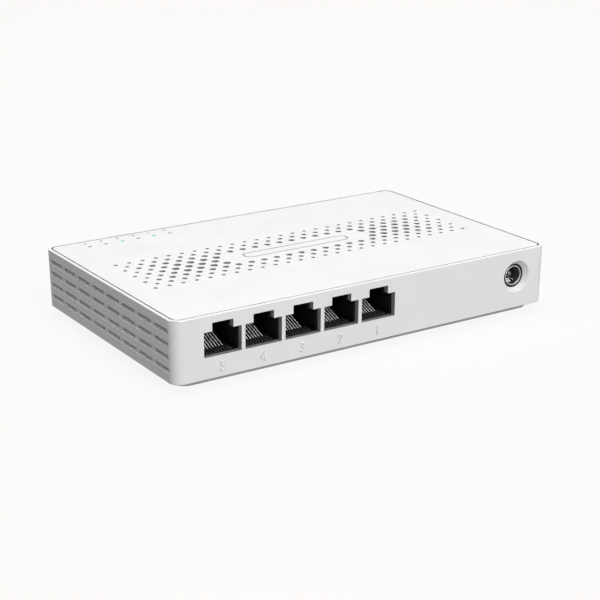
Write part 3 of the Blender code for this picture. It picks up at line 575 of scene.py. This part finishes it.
def in_cover_hole(centre, normal):
    """The upright walls of the vents and the indicator holes."""
    below_top = centre.z < PANEL_HIGH.z - 0.5 * MM
    inside = abs(centre.x) < RIGHT - 3 * MM and abs(centre.y) < BACK - 3 * MM
    return below_top and inside and abs(normal.z) < 0.3


def fillet(start, end, steps):
    """Points (inset, z) of a quarter turn that leaves start upwards and reaches end level."""
    points = []
    for step in range(steps + 1):
        angle = step / steps * math.pi / 2
        inset = start[0] + (end[0] - start[0]) * (1 - math.cos(angle))
        z = start[1] + (end[1] - start[1]) * math.sin(angle)
        points.append((inset, z))
    return points


def case_shell():
    top = BODY_TOP
    low = BODY_BOTTOM
    profile = [(WALL, low)]
    for angle in (0.0, math.pi / 8, math.pi / 4, 3 * math.pi / 8, math.pi / 2):
        inset = DRAFT + BOTTOM_FILLET * (1 - math.sin(angle))
        profile.append((inset, low + BOTTOM_FILLET * (1 - math.cos(angle))))
    profile += fillet((0.0, top - TOP_FILLET), (TOP_FILLET, top), 5)
    profile += [(RIM - 0.04 * MM, top), (RIM, top - 0.04 * MM)]
    profile += [(RIM, top - POCKET_DEPTH), (WALL, top - POCKET_DEPTH)]
    shape = bmesh.new()
    loft(shape, [case_outline(inset, z) for inset, z in profile], joined=True)
    shell = new_piece("case_shell", shape, CASE)

    combine(shell, side_grooves())
    combine(shell, side_slots())
    combine(shell, port_windows())
    combine(shell, jack_mouth())
    # Painted shade: grey on the walls of the port windows, darker grey on their floors, near black on the
    # rim's inner wall and ledge round the cover.
    tint(shell, PAINTED_SHADE, in_port_window)
    tint(shell, PAINTED_DEEP_SHADE, lambda centre, normal: in_port_window(centre, normal) and normal.z > 0.5)
    tint(shell, PAINTED_GAP_SHADE, in_rim_seam)
    soften(shell)
    return finish_piece(shell, "chassis", ["body_frame"])


def groove_rows():
    middle = (BODY_BOTTOM + BODY_TOP) / 2 + 0.1 * MM
    return [middle + (row - (GROOVE_COUNT - 1) / 2) * GROOVE_PITCH for row in range(GROOVE_COUNT)]


def side_grooves():
    shape = bmesh.new()
    for side in (-1, 1):
        for z in groove_rows():
            floor = side * (RIGHT - GROOVE_DEPTH)
            out = side * (RIGHT + MM)
            half = GROOVE_HEIGHT / 2
            low = (min(floor, out), FRONT + GROOVE_END, z - half)
            high = (max(floor, out), BACK - GROOVE_END, z + half)
            add_box(shape, low, high)
    return shape


def side_slots():
    """Slots through the floor of each groove. Their lower faces rise towards the inside."""
    shape = bmesh.new()
    half_y = (SLOT_PITCH - SLOT_RIB) / 2
    half_z = GROOVE_HEIGHT / 2 - 0.3 * MM
    for side in (-1, 1):
        out = side * (RIGHT + MM)
        floor = side * (RIGHT - GROOVE_DEPTH)
        inside = side * (RIGHT - WALL - MM)
        rise = 0.35 * abs(floor - inside)
        for z in groove_rows():
            corners = [(out, z - half_z), (floor, z - half_z), (inside, z - half_z + rise)]
            corners += [(inside, z + half_z), (out, z + half_z)]
            for index in range(SLOT_COUNT):
                y = (index - (SLOT_COUNT - 1) / 2) * SLOT_PITCH
                slot = bmesh.new()
                loft(slot, [[Vector((x, end, up)) for x, up in corners] for end in (y - half_y, y + half_y)])
                add_shape(shape, slot)
    return shape


def stepped_prism(shape, x, y_range, bottom, width, height, latch_width, latch_height):
    """A prism along Y with the stepped outline of a port."""
    corners = [
        (-width / 2, 0.0),
        (width / 2, 0.0),
        (width / 2, height),
        (latch_width / 2, height),
        (latch_width / 2, height + latch_height),
        (-latch_width / 2, height + latch_height),
        (-latch_width / 2, height),
        (-width / 2, height),
    ]
    rows = []
    for y in y_range:
        rows.append([Vector((x + across, y, bottom + up)) for across, up in corners])
    loft(shape, rows)


def port_windows():
    shape = bmesh.new()
    for x in PORT_XS.values():
        stepped_prism(
            shape, x, (FRONT - MM, FRONT + WALL + MM), PORT_FLOOR - 0.05 * MM,
            WINDOW_WIDTH, WINDOW_HEIGHT, WINDOW_LATCH_WIDTH, WINDOW_LATCH_HEIGHT,
        )
    return shape


def jack_mouth():
    shape = bmesh.new()
    slope = (MOUTH_RADIUS - NOSE_HOLE_RADIUS) / CONE_DEPTH
    profile = [
        (MOUTH_RADIUS + slope * MM, FRONT - MM),
        (NOSE_HOLE_RADIUS, FRONT + CONE_DEPTH),
        (NOSE_HOLE_RADIUS, FRONT + WALL + MM),
    ]
    loft(shape, turned(Vector((JACK_X, 0.0, JACK_Z)), profile, 96))
    return shape


def port_numbers():
    """A raised number under each port."""
    shape = bmesh.new()
    z = BODY_BOTTOM + DIGIT_HEIGHT
    for number in PORT_NUMBERS:
        place = Matrix.Translation((PORT_XS[number] - 0.1 * MM, FRONT + draft_at(z), z))
        turn = Matrix.Rotation(math.pi / 2, 4, "X")
        digit = text_shape(str(number), 4.2 * MM, 2 * DIGIT_RELIEF, place @ turn, 0.0, DIGIT_CHAMFER)
        add_shape(shape, digit)
    numbers = new_piece("port_numbers", shape, CASE)
    # Painted shade on the left-facing sides of the raised numbers.
    tint(numbers, PAINTED_SHADE, lambda centre, normal: normal.x < -0.5)
    return finish_piece(numbers, "chassis")


def vent_holes():
    """Each hole of the top field as (x, y, diameter)."""
    columns = int((RIGHT - LEFT - 2 * VENT_MARGIN) / VENT_PITCH_X) + 1
    holes = []
    for row in range(VENT_ROWS):
        count = columns - row % 2
        y = (row - (VENT_ROWS - 1) / 2) * VENT_PITCH_Y
        for column in range(count):
            x = (column - (count - 1) / 2) * VENT_PITCH_X
            if abs(x) < NAMEPLATE_HALF_WIDTH and abs(y) < NAMEPLATE_HALF_HEIGHT:
                continue
            ring = min(row, VENT_ROWS - 1 - row, column, count - 1 - column, len(VENT_DIAMETERS) - 1)
            holes.append((x, y, VENT_DIAMETERS[ring]))
    return holes


def top_cover():
    half_x = (PANEL_HIGH.x - PANEL_LOW.x) / 2 - SEAM_EASE
    half_y = (PANEL_HIGH.y - PANEL_LOW.y) / 2 - SEAM_EASE
    bottom = PANEL_HIGH.z - PANEL_THICKNESS
    top = PANEL_HIGH.z - PANEL_SINK
    edge = 0.04 * MM
    profile = [(0.0, bottom), (0.0, top - edge), (edge, top)]
    shape = bmesh.new()
    loft(shape, [outline(half_x - inset, half_y - inset, PANEL_RADIUS - inset, z) for inset, z in profile])
    cover = new_piece("top_cover", shape, CASE)

    vents = bmesh.new()
    for x, y, diameter in vent_holes():
        add_cylinder(vents, (x, y, bottom - MM), (x, y, top + MM), diameter / 2, 28)
    for x in LED_XS:
        add_cylinder(vents, (x, LED_Y, bottom - MM), (x, LED_Y, top + MM), INDICATOR_HOLE_RADIUS, 28)
    combine(cover, vents)

    ring = bmesh.new()
    depth = top - LOOP_DEPTH
    profile = [(0.0, depth), (0.0, top + MM), (LOOP_LINE, top + MM), (LOOP_LINE, depth)]
    sections = []
    for inset, z in profile:
        half_high = LOOP_HALF_Y + LOOP_LINE - inset
        sections.append(outline(LOOP_HALF_X + LOOP_LINE - inset, half_high, half_high - 0.02 * MM, z))
    loft(ring, sections, joined=True)
    combine(cover, ring)

    tabs = bmesh.new()
    add_panel_tabs(tabs, bottom)
    combine(cover, tabs, "UNION")
    # Painted shade: darker grey on the walls of the vents and indicator holes, grey in the name groove, near
    # black on the cover's upright edge.
    tint(cover, PAINTED_DEEP_SHADE, in_cover_hole)
    tint(cover, PAINTED_SHADE, in_name_groove)
    tint(cover, PAINTED_GAP_SHADE, in_cover_seam)
    soften(cover, edge)
    return finish_piece(cover, "chassis", ["top_panel"])


def add_panel_tabs(shape, bottom):
    """The upright tabs that hang just inside the walls, at the places the frame has them."""
    near = WALL + 0.3 * MM
    far = near + 1.2 * MM
    half = 3.0 * MM
    low = PANEL_LOW.z
    high = bottom + 0.3 * MM
    for x in (LEFT / 2, RIGHT / 2):
        add_box(shape, (x - half, BACK - far, low), (x + half, BACK - near, high))
    add_box(shape, (LEFT + near, -half, low), (LEFT + far, half, high))
    add_box(shape, (RIGHT - far, -half, low), (RIGHT - near, half, high))
    x = (max(PORT_XS.values()) + JACK_X) / 2
    add_box(shape, (x - half, FRONT + near, low), (x + half, FRONT + far, high))


# -------------------------------------------------------------- markings

def led_marks():
    """Small printed numbers beside the indicators, and a power mark beside the last one."""
    top = PANEL_HIGH.z - PANEL_SINK
    marks = bmesh.new()
    for index, x in enumerate(LED_XS[:PORT_COUNT]):
        spot = Matrix.Translation((x, LED_Y + MARK_OFFSET, top + 0.005 * MM))
        place = spot @ Matrix.Rotation(math.pi, 4, "Z")
        number = text_shape(str(PORT_COUNT - index), 2.1 * MM, 0.02 * MM, place, 0.04 * MM)
        add_shape(marks, number)
    add_power_mark(marks, Vector((LED_XS[-1], LED_Y + MARK_OFFSET, top)))
    return finish_piece(new_piece("indicator_marks", marks, INK), "chassis")


def add_shape(target, shape):
    mesh = bpy.data.meshes.new("shape")
    shape.to_mesh(mesh)
    shape.free()
    target.from_mesh(mesh)
    bpy.data.meshes.remove(mesh)


def add_power_mark(shape, centre):
    """An open ring with an upright stroke in its gap."""
    outer = 0.75 * MM
    inner = 0.57 * MM
    low = centre.z - 0.01 * MM
    high = centre.z + 0.015 * MM
    gap = math.radians(35)
    steps = 24
    sections = []
    for step in range(steps + 1):
        angle = -math.pi / 2 + gap + step / steps * (2 * math.pi - 2 * gap)
        out = Vector((math.cos(angle), math.sin(angle), 0.0))
        sections.append([
            Vector((centre.x, centre.y, low)) + out * outer,
            Vector((centre.x, centre.y, high)) + out * outer,
            Vector((centre.x, centre.y, high)) + out * inner,
            Vector((centre.x, centre.y, low)) + out * inner,
        ])
    loft(shape, sections)
    half = 0.09 * MM
    add_box(shape, (centre.x - half, centre.y - 0.85 * MM, low), (centre.x + half, centre.y - 0.1 * MM, high))


# ----------------------------------------------------------------- base

def lower_tray():
    top = TRAY_HIGH.z
    low = TRAY_LOW.z
    inset = BASE_INSET
    shape = bmesh.new()
    shoulder = BODY_BOTTOM + 0.2 * MM
    profile = [(0.25 * MM, low), (0.07 * MM, low + 0.07 * MM), (0.0, low + 0.25 * MM), (0.0, shoulder)]
    sections = [plate_outline(inset + gap, BASE_RADIUS - gap, z) for gap, z in profile]
    sections += [plate_outline(2.3 * MM, MM, z) for z in (shoulder, top)]
    sections += [plate_outline(inset + 1.5 * MM, 2.0 * MM, z) for z in (top, low + 1.2 * MM)]
    loft(shape, sections)
    tray = new_piece("lower_tray", shape, CASE)
    cut_tray(tray)
    # Painted shade on the tray's upright sides under the case overhang.
    below = BODY_BOTTOM + 0.1 * MM
    tint(tray, PAINTED_SHADE, lambda centre, normal: abs(normal.z) < 0.5 and centre.z < below)
    soften(tray)
    return finish_piece(tray, "chassis", ["base_tray"])


def corner_places(inset_x, inset_y):
    return [(side * (RIGHT - inset_x), end * (BACK - inset_y)) for side in (-1, 1) for end in (-1, 1)]


def boss_places():
    return [(side * (RIGHT - BOSS_INSET), end * 2 * SLOT_PITCH) for side in (-1, 1) for end in (-1, 1)]


def cut_tray(tray):
    low = TRAY_LOW.z
    top = TRAY_HIGH.z
    pads = bmesh.new()
    for x, y in boss_places():
        add_cylinder(pads, (x, y, low + 0.6 * MM), (x, y, top), BOSS_RADIUS, 32)
    for x, y in corner_places(*BOARD_SCREW_INSET):
        add_cylinder(pads, (x, y, low + 0.6 * MM), (x, y, BOARD_LOW.z - 0.3 * MM), POST_RADIUS, 32)
    combine(tray, pads, "UNION")
    holes = bmesh.new()
    for x, y in boss_places():
        add_cylinder(holes, (x, y, low + 1.2 * MM), (x, y, top + MM), SCREW_HOLE_RADIUS, 24)
    for x, y in corner_places(*BOARD_SCREW_INSET):
        add_cylinder(holes, (x, y, low + 0.9 * MM), (x, y, BOARD_LOW.z + MM), SCREW_HOLE_RADIUS, 24)
    combine(tray, holes)
    wide = bmesh.new()
    for x, y in boss_places():
        add_cylinder(wide, (x, y, low - MM), (x, y, low + 1.5 * MM), SCREW_HEAD_RADIUS, 32)
    for x, y in corner_places(FOOT_INSET, FOOT_INSET):
        add_cylinder(wide, (x, y, low - MM), (x, y, low + 0.6 * MM), FOOT_RECESS_RADIUS, 48)
    for y in (FRONT / 4, BACK / 4):
        for index in range(BASE_SLOT_COUNT):
            x = (index - (BASE_SLOT_COUNT - 1) / 2) * BASE_SLOT_PITCH
            start = (x - MM, y - BASE_SLOT_HALF_LENGTH, low - MM)
            end = (x + MM, y + BASE_SLOT_HALF_LENGTH, low + 2.2 * MM)
            add_box(wide, start, end)
    combine(tray, wide)


def rubber_feet():
    for index, (x, y) in enumerate(corner_places(FOOT_INSET, FOOT_INSET), start=1):
        low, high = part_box(f"rubber_foot_{index}")
        radius = (high.x - low.x) / 2
        edge = 0.25 * MM
        profile = [(radius - 0.4 * MM - edge, low.z), (radius - 0.4 * MM, low.z + edge), (radius, high.z)]
        shape = bmesh.new()
        loft(shape, upright_rings(x, y, profile, 48))
        foot = new_piece(f"foot_pad_{index}", shape, RUBBER)
        soften(foot, 0.12 * MM)
        finish_piece(foot, "chassis", [f"rubber_foot_{index}"])


# ---------------------------------------------------------------- ports

def socket_block():
    shape = bmesh.new()
    add_box(shape, HOUSING_LOW, HOUSING_HIGH)
    block = new_piece("socket_block", shape, BLACK)
    mouths = bmesh.new()
    funnels = bmesh.new()
    for x in PORT_XS.values():
        front = HOUSING_FRONT
        stepped_prism(
            mouths, x, (front - MM, front + CAVITY_DEPTH), PORT_FLOOR,
            MOUTH_WIDTH, MOUTH_HEIGHT, LATCH_WIDTH, LATCH_HEIGHT,
        )
        add_box(
            funnels,
            (x - FUNNEL_HALF, front + 2.3 * MM, PORT_FLOOR - 1.7 * MM),
            (x + FUNNEL_HALF, HOUSING_HIGH.y + MM, PORT_FLOOR + 0.3 * MM),
        )
    combine(block, mouths)
    combine(block, funnels)
    bays = bmesh.new()
    ridges = bmesh.new()
    for x in PORT_XS.values():
        add_box(
            bays,
            (x - FUNNEL_HALF, HOUSING_FRONT + 10.5 * MM, PORT_FLOOR - 1.6 * MM),
            (x + FUNNEL_HALF, HOUSING_HIGH.y + MM, PORT_FLOOR + 4.2 * MM),
        )
        for index in range(WIRE_COUNT + 1):
            middle = x + (index - WIRE_COUNT / 2) * WIRE_PITCH
            add_box(
                ridges,
                (middle - RIDGE_HALF, HOUSING_FRONT + RIDGE_FRONT, PORT_FLOOR - 0.3 * MM),
                (middle + RIDGE_HALF, HOUSING_FRONT + RIDGE_BACK, PORT_FLOOR + RIDGE_HEIGHT),
            )
    combine(block, bays)
    combine(block, ridges, "UNION")
    # Painted highlight: the ridges between the wires are made lighter than the rest of the black socket.
    tint(block, PAINTED_RIDGE_HIGHLIGHT, in_ridge)
    soften(block, 0.05 * MM)
    return finish_piece(block, "chassis", ["port_housing"])


def contact_wires(number):
    """Eight round sprung wires that rise from under the floor, with the bar that holds them."""
    pivot = Vector(JOINTS[f"port_{number}_contact_bend"]["pos_m"])
    curve = bpy.data.curves.new(f"wires_{number}", "CURVE")
    curve.dimensions = "3D"
    curve.bevel_depth = WIRE_RADIUS
    curve.bevel_resolution = 3
    curve.use_fill_caps = True
    slope = Vector((0.0, math.cos(WIRE_SLOPE), math.sin(WIRE_SLOPE)))
    for index in range(WIRE_COUNT):
        across = Vector(((index - (WIRE_COUNT - 1) / 2) * WIRE_PITCH, 0.0, 0.0))
        path = [pivot + across + slope * reach * WIRE_REACH for reach in (-0.02, 0.3, 0.65, 1.0)]
        path.append(path[-1] + Vector((0.0, 0.25 * MM, -0.05 * MM)))
        spline = curve.splines.new("POLY")
        spline.points.add(len(path) - 1)
        for point, place in zip(spline.points, path):
            point.co = (*place, 1.0)
    wires = bpy.data.objects.new(f"contact_wires_{number}", curve)
    bpy.context.scene.collection.objects.link(wires)
    curve.materials.append(WIRE)
    finish_piece(wires, f"port_{number}_contacts", [f"contact_set_{number}"])

    bar = bmesh.new()
    half = 4.1 * MM
    add_box(bar, pivot + Vector((-half, -0.45 * MM, -0.6 * MM)), pivot + Vector((half, 0.5 * MM, -0.2 * MM)))
    rail = new_piece(f"contact_rail_{number}", bar, BLACK)
    soften(rail, 0.06 * MM)
    finish_piece(rail, f"port_{number}_contacts")


# -------------------------------------------------------------- DC inlet

def jack_block():
    centre = Vector((JACK_X, 0.0, JACK_Z))
    back = JACK_HIGH.y
    front = JACK_LOW.y
    shape = bmesh.new()
    add_box(shape, (JACK_LOW.x, HOUSING_FRONT, JACK_LOW.z), (JACK_HIGH.x, back, JACK_HIGH.z))
    block = new_piece("jack_block", shape, BLACK)
    nose = bmesh.new()
    radius = 3.75 * MM
    edge = 0.15 * MM
    profile = [(radius - edge, front), (radius, front + edge), (radius, HOUSING_FRONT + MM)]
    loft(nose, turned(centre, profile))
    combine(block, nose, "UNION")
    bore = bmesh.new()
    loft(bore, turned(centre, [(BORE_RADIUS, front - MM), (BORE_RADIUS, back - BORE_BACK_WALL)]))
    combine(block, bore)
    channel = bmesh.new()
    half = leaf_half_width() + LEAF_ROOM
    add_box(
        channel,
        (JACK_X - half, HOUSING_FRONT + CHANNEL_FRONT, JACK_Z - 4.6 * MM),
        (JACK_X + half, back - BORE_BACK_WALL, JACK_Z - CHANNEL_TOP),
    )
    combine(block, channel)
    hole = bmesh.new()
    add_cylinder(hole, (JACK_X, back - 4 * MM, JACK_Z), (JACK_X, back + MM, JACK_Z), 1.3 * MM, 24)
    combine(block, hole)
    soften(block, 0.08 * MM)
    return finish_piece(block, "chassis", ["dc_jack_housing"])


def leaf_half_width():
    low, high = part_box("dc_jack_leaf")
    return (high.x - low.x) / 2


def in_jack_bore(centre, normal):
    across = Vector((centre.x - JACK_X, 0.0, centre.z - JACK_Z))
    return across.length < 3.15 * MM and across.dot(normal) < 0 and centre.y > SLEEVE_LOW.y + 0.4 * MM


def jack_sleeve():
    """The bright tube in the bore, rolled over at its front, with the leaf's slot in its underside."""
    centre = Vector((JACK_X, 0.0, JACK_Z))
    front, end = SLEEVE_LOW.y, SLEEVE_HIGH.y
    shape = bmesh.new()
    outer = SLEEVE_OUTER
    inner = SLEEVE_INNER
    lip = 0.2 * MM
    middle = 3.24 * MM
    profile = [(outer, end), (outer, front + lip + 0.1 * MM)]
    for step in range(7):
        angle = step / 6 * math.pi
        profile.append((middle + lip * math.cos(angle), front + lip - lip * math.sin(angle)))
    profile += [(inner + 0.12 * MM, front + 0.3 * MM), (inner + 0.12 * MM, front + 0.45 * MM)]
    profile += [(inner, front + 0.5 * MM), (inner, end)]
    loft(shape, turned(centre, profile), joined=True)
    sleeve = new_piece("jack_sleeve", shape, PLATED)
    # Painted shade on the inner wall of the bore, behind the rolled lip.
    tint(sleeve, PAINTED_BORE_SHADE, in_jack_bore)
    slot = bmesh.new()
    half = leaf_half_width() + 0.3 * MM
    low = (JACK_X - half, HOUSING_FRONT + CHANNEL_FRONT, JACK_Z - 5 * MM)
    high = (JACK_X + half, end + MM, JACK_Z - CHANNEL_TOP)
    add_box(slot, low, high)
    combine(sleeve, slot)
    sleeve.data.shade_smooth()
    sleeve.data.set_sharp_from_angle(angle=math.radians(40))
    return finish_piece(sleeve, "chassis", ["dc_jack_sleeve"])


def jack_pin():
    centre = Vector((JACK_X, 0.0, JACK_Z))
    radius = (PIN_HIGH.x - PIN_LOW.x) / 2
    front, end = PIN_LOW.y, PIN_HIGH.y
    profile = []
    for step in range(1, 7):
        angle = step / 6 * math.pi / 2
        profile.append((radius * math.sin(angle), front + radius * 0.7 * (1 - math.cos(angle))))
    profile.append((radius, end))
    shape = bmesh.new()
    loft(shape, turned(centre, profile, 32))
    # Painted shade: the pin takes the dark copy of the plated metal.
    pin = new_piece("jack_pin", shape, PAINTED_BORE_SHADE)
    pin.data.shade_smooth()
    pin.data.set_sharp_from_angle(angle=math.radians(40))
    return finish_piece(pin, "chassis", ["dc_jack_pin"])


# ------------------------------------------------------------ indicators

def light_pipes():
    """A clear strip with a stem over each LED and a domed tip in each hole of the cover."""
    shape = bmesh.new()
    bar_top = PANEL_HIGH.z - 2.1 * MM
    bar_low = bar_top - 1.5 * MM
    add_box(shape, (STRIP_LOW.x, STRIP_LOW.y, bar_low), (STRIP_HIGH.x, STRIP_HIGH.y, bar_top))
    strip = new_piece("light_pipe_bar", shape, LENS)
    stems = bmesh.new()
    for x in LED_XS:
        add_cylinder(stems, (x, LED_Y, STRIP_LOW.z), (x, LED_Y, bar_low + 0.4 * MM), 0.85 * MM, 24)
    combine(strip, stems, "UNION")
    soften(strip, 0.08 * MM)
    finish_piece(strip, "chassis", ["light_pipe_strip"])
    for index, x in enumerate(LED_XS):
        finish = LIT if index in LIT_LEDS else LENS
        light_pipe_tip(index + 1, x, bar_top - 0.3 * MM, finish)


def light_pipe_tip(number, x, low, finish):
    top = PANEL_HIGH.z - 0.06 * MM
    radius = 0.58 * MM
    profile = [(radius, low), (radius, top - 0.16 * MM)]
    profile += [(0.85 * radius, top - 0.06 * MM), (0.5 * radius, top)]
    shape = bmesh.new()
    loft(shape, upright_rings(x, LED_Y, profile, 32))
    tip = new_piece(f"light_pipe_tip_{number}", shape, finish)
    tip.data.shade_smooth()
    tip.data.set_sharp_from_angle(angle=math.radians(50))
    finish_piece(tip, "chassis")


# --------------------------------------------- pieces kept from the frame

def dress_frame_nodes():
    looks = {
        "screw": PLATED,
        "crystal": PLATED,
        "circuit_board": BOARD,
        "contact_insert": BLACK,
        "dc_jack_leaf": WIRE,
        "heatsink": ALUMINIUM,
        "capacitor": ALUMINIUM,
        "thermal_pad": PAD,
        "led_": LENS,
        "input_fuse": LENS,
    }
    for name, node in frame["nodes"].items():
        finish = next((look for key, look in looks.items() if key in name), RESIN)
        node.data.materials.clear()
        node.data.materials.append(finish)


# ---------------------------------------------------------------- stage

def floor():
    shape = bmesh.new()
    size = 3.0
    add_box(shape, (-size, -size, -0.02), (size, size, 0.0))
    made = new_piece("floor", shape, floor_finish())
    made.visible_diffuse = False
    made.visible_glossy = False


def floor_finish():
    made = surface("floor_pale", ((0.055, 0.055, 0.054), (0.06, 0.06, 0.059)), (0.8, 0.9), 60.0, 0.0)
    shader = made.node_tree.nodes["Principled BSDF"]
    shader.inputs["Emission Color"].default_value = (1.0, 0.98, 0.965, 1.0)
    shader.inputs["Emission Strength"].default_value = 0.91
    shader.inputs["Specular IOR Level"].default_value = 0.0
    return made


def area_light(name, place, aim, size, power, colour=(1.0, 1.0, 1.0)):
    light = bpy.data.lights.new(name, "AREA")
    light.shape = "DISK"
    light.size = size
    light.energy = power
    light.color = colour
    made = bpy.data.objects.new(name, light)
    made.location = place
    made.rotation_euler = (Vector(aim) - Vector(place)).to_track_quat("-Z", "Y").to_euler()
    bpy.context.scene.collection.objects.link(made)


def lights():
    area_light("low_key", (-0.2, -2.4, 1.05), (0.0, 0.0, 0.01), 0.9, 34.0)
    area_light("high_key", (0.5, -1.8, 1.9), (0.0, 0.0, 0.01), 1.0, 21.0)
    area_light("top", (0.0, 0.15, 2.5), (0.0, 0.0, 0.02), 1.6, 44.0)
    world = bpy.data.worlds.new("studio")
    world.use_nodes = True
    sky = world.node_tree.nodes["Background"]
    sky.inputs["Color"].default_value = (0.98, 0.99, 1.0, 1.0)
    sky.inputs["Strength"].default_value = 0.34
    bpy.context.scene.world = world


def camera():
    lens = bpy.data.cameras.new("view")
    lens.lens = VIEW_LENS
    lens.sensor_width = 36.0
    lens.clip_start = 0.01
    made = bpy.data.objects.new("view", lens)
    centre = Vector((0.0, 0.0, (BODY_LOW.z + BODY_HIGH.z) / 2))
    level = math.cos(VIEW_ELEVATION)
    back = Vector((math.sin(VIEW_AZIMUTH) * level, -math.cos(VIEW_AZIMUTH) * level, math.sin(VIEW_ELEVATION)))
    right = Vector((math.cos(VIEW_AZIMUTH), math.sin(VIEW_AZIMUTH), 0.0))
    up = back.cross(right)
    made.location = centre + back * VIEW_DISTANCE + right * VIEW_SHIFT_RIGHT - up * VIEW_SHIFT_DOWN
    made.rotation_euler = (math.pi / 2 - VIEW_ELEVATION, 0.0, VIEW_AZIMUTH)
    bpy.context.scene.collection.objects.link(made)
    bpy.context.scene.camera = made


dress_frame_nodes()
case_shell()
port_numbers()
top_cover()
led_marks()
lower_tray()
rubber_feet()
socket_block()
for port in PORT_NUMBERS:
    contact_wires(port)
jack_block()
jack_sleeve()
jack_pin()
light_pipes()
floor()
lights()
camera()
bpy.context.scene.view_settings.view_transform = "Standard"
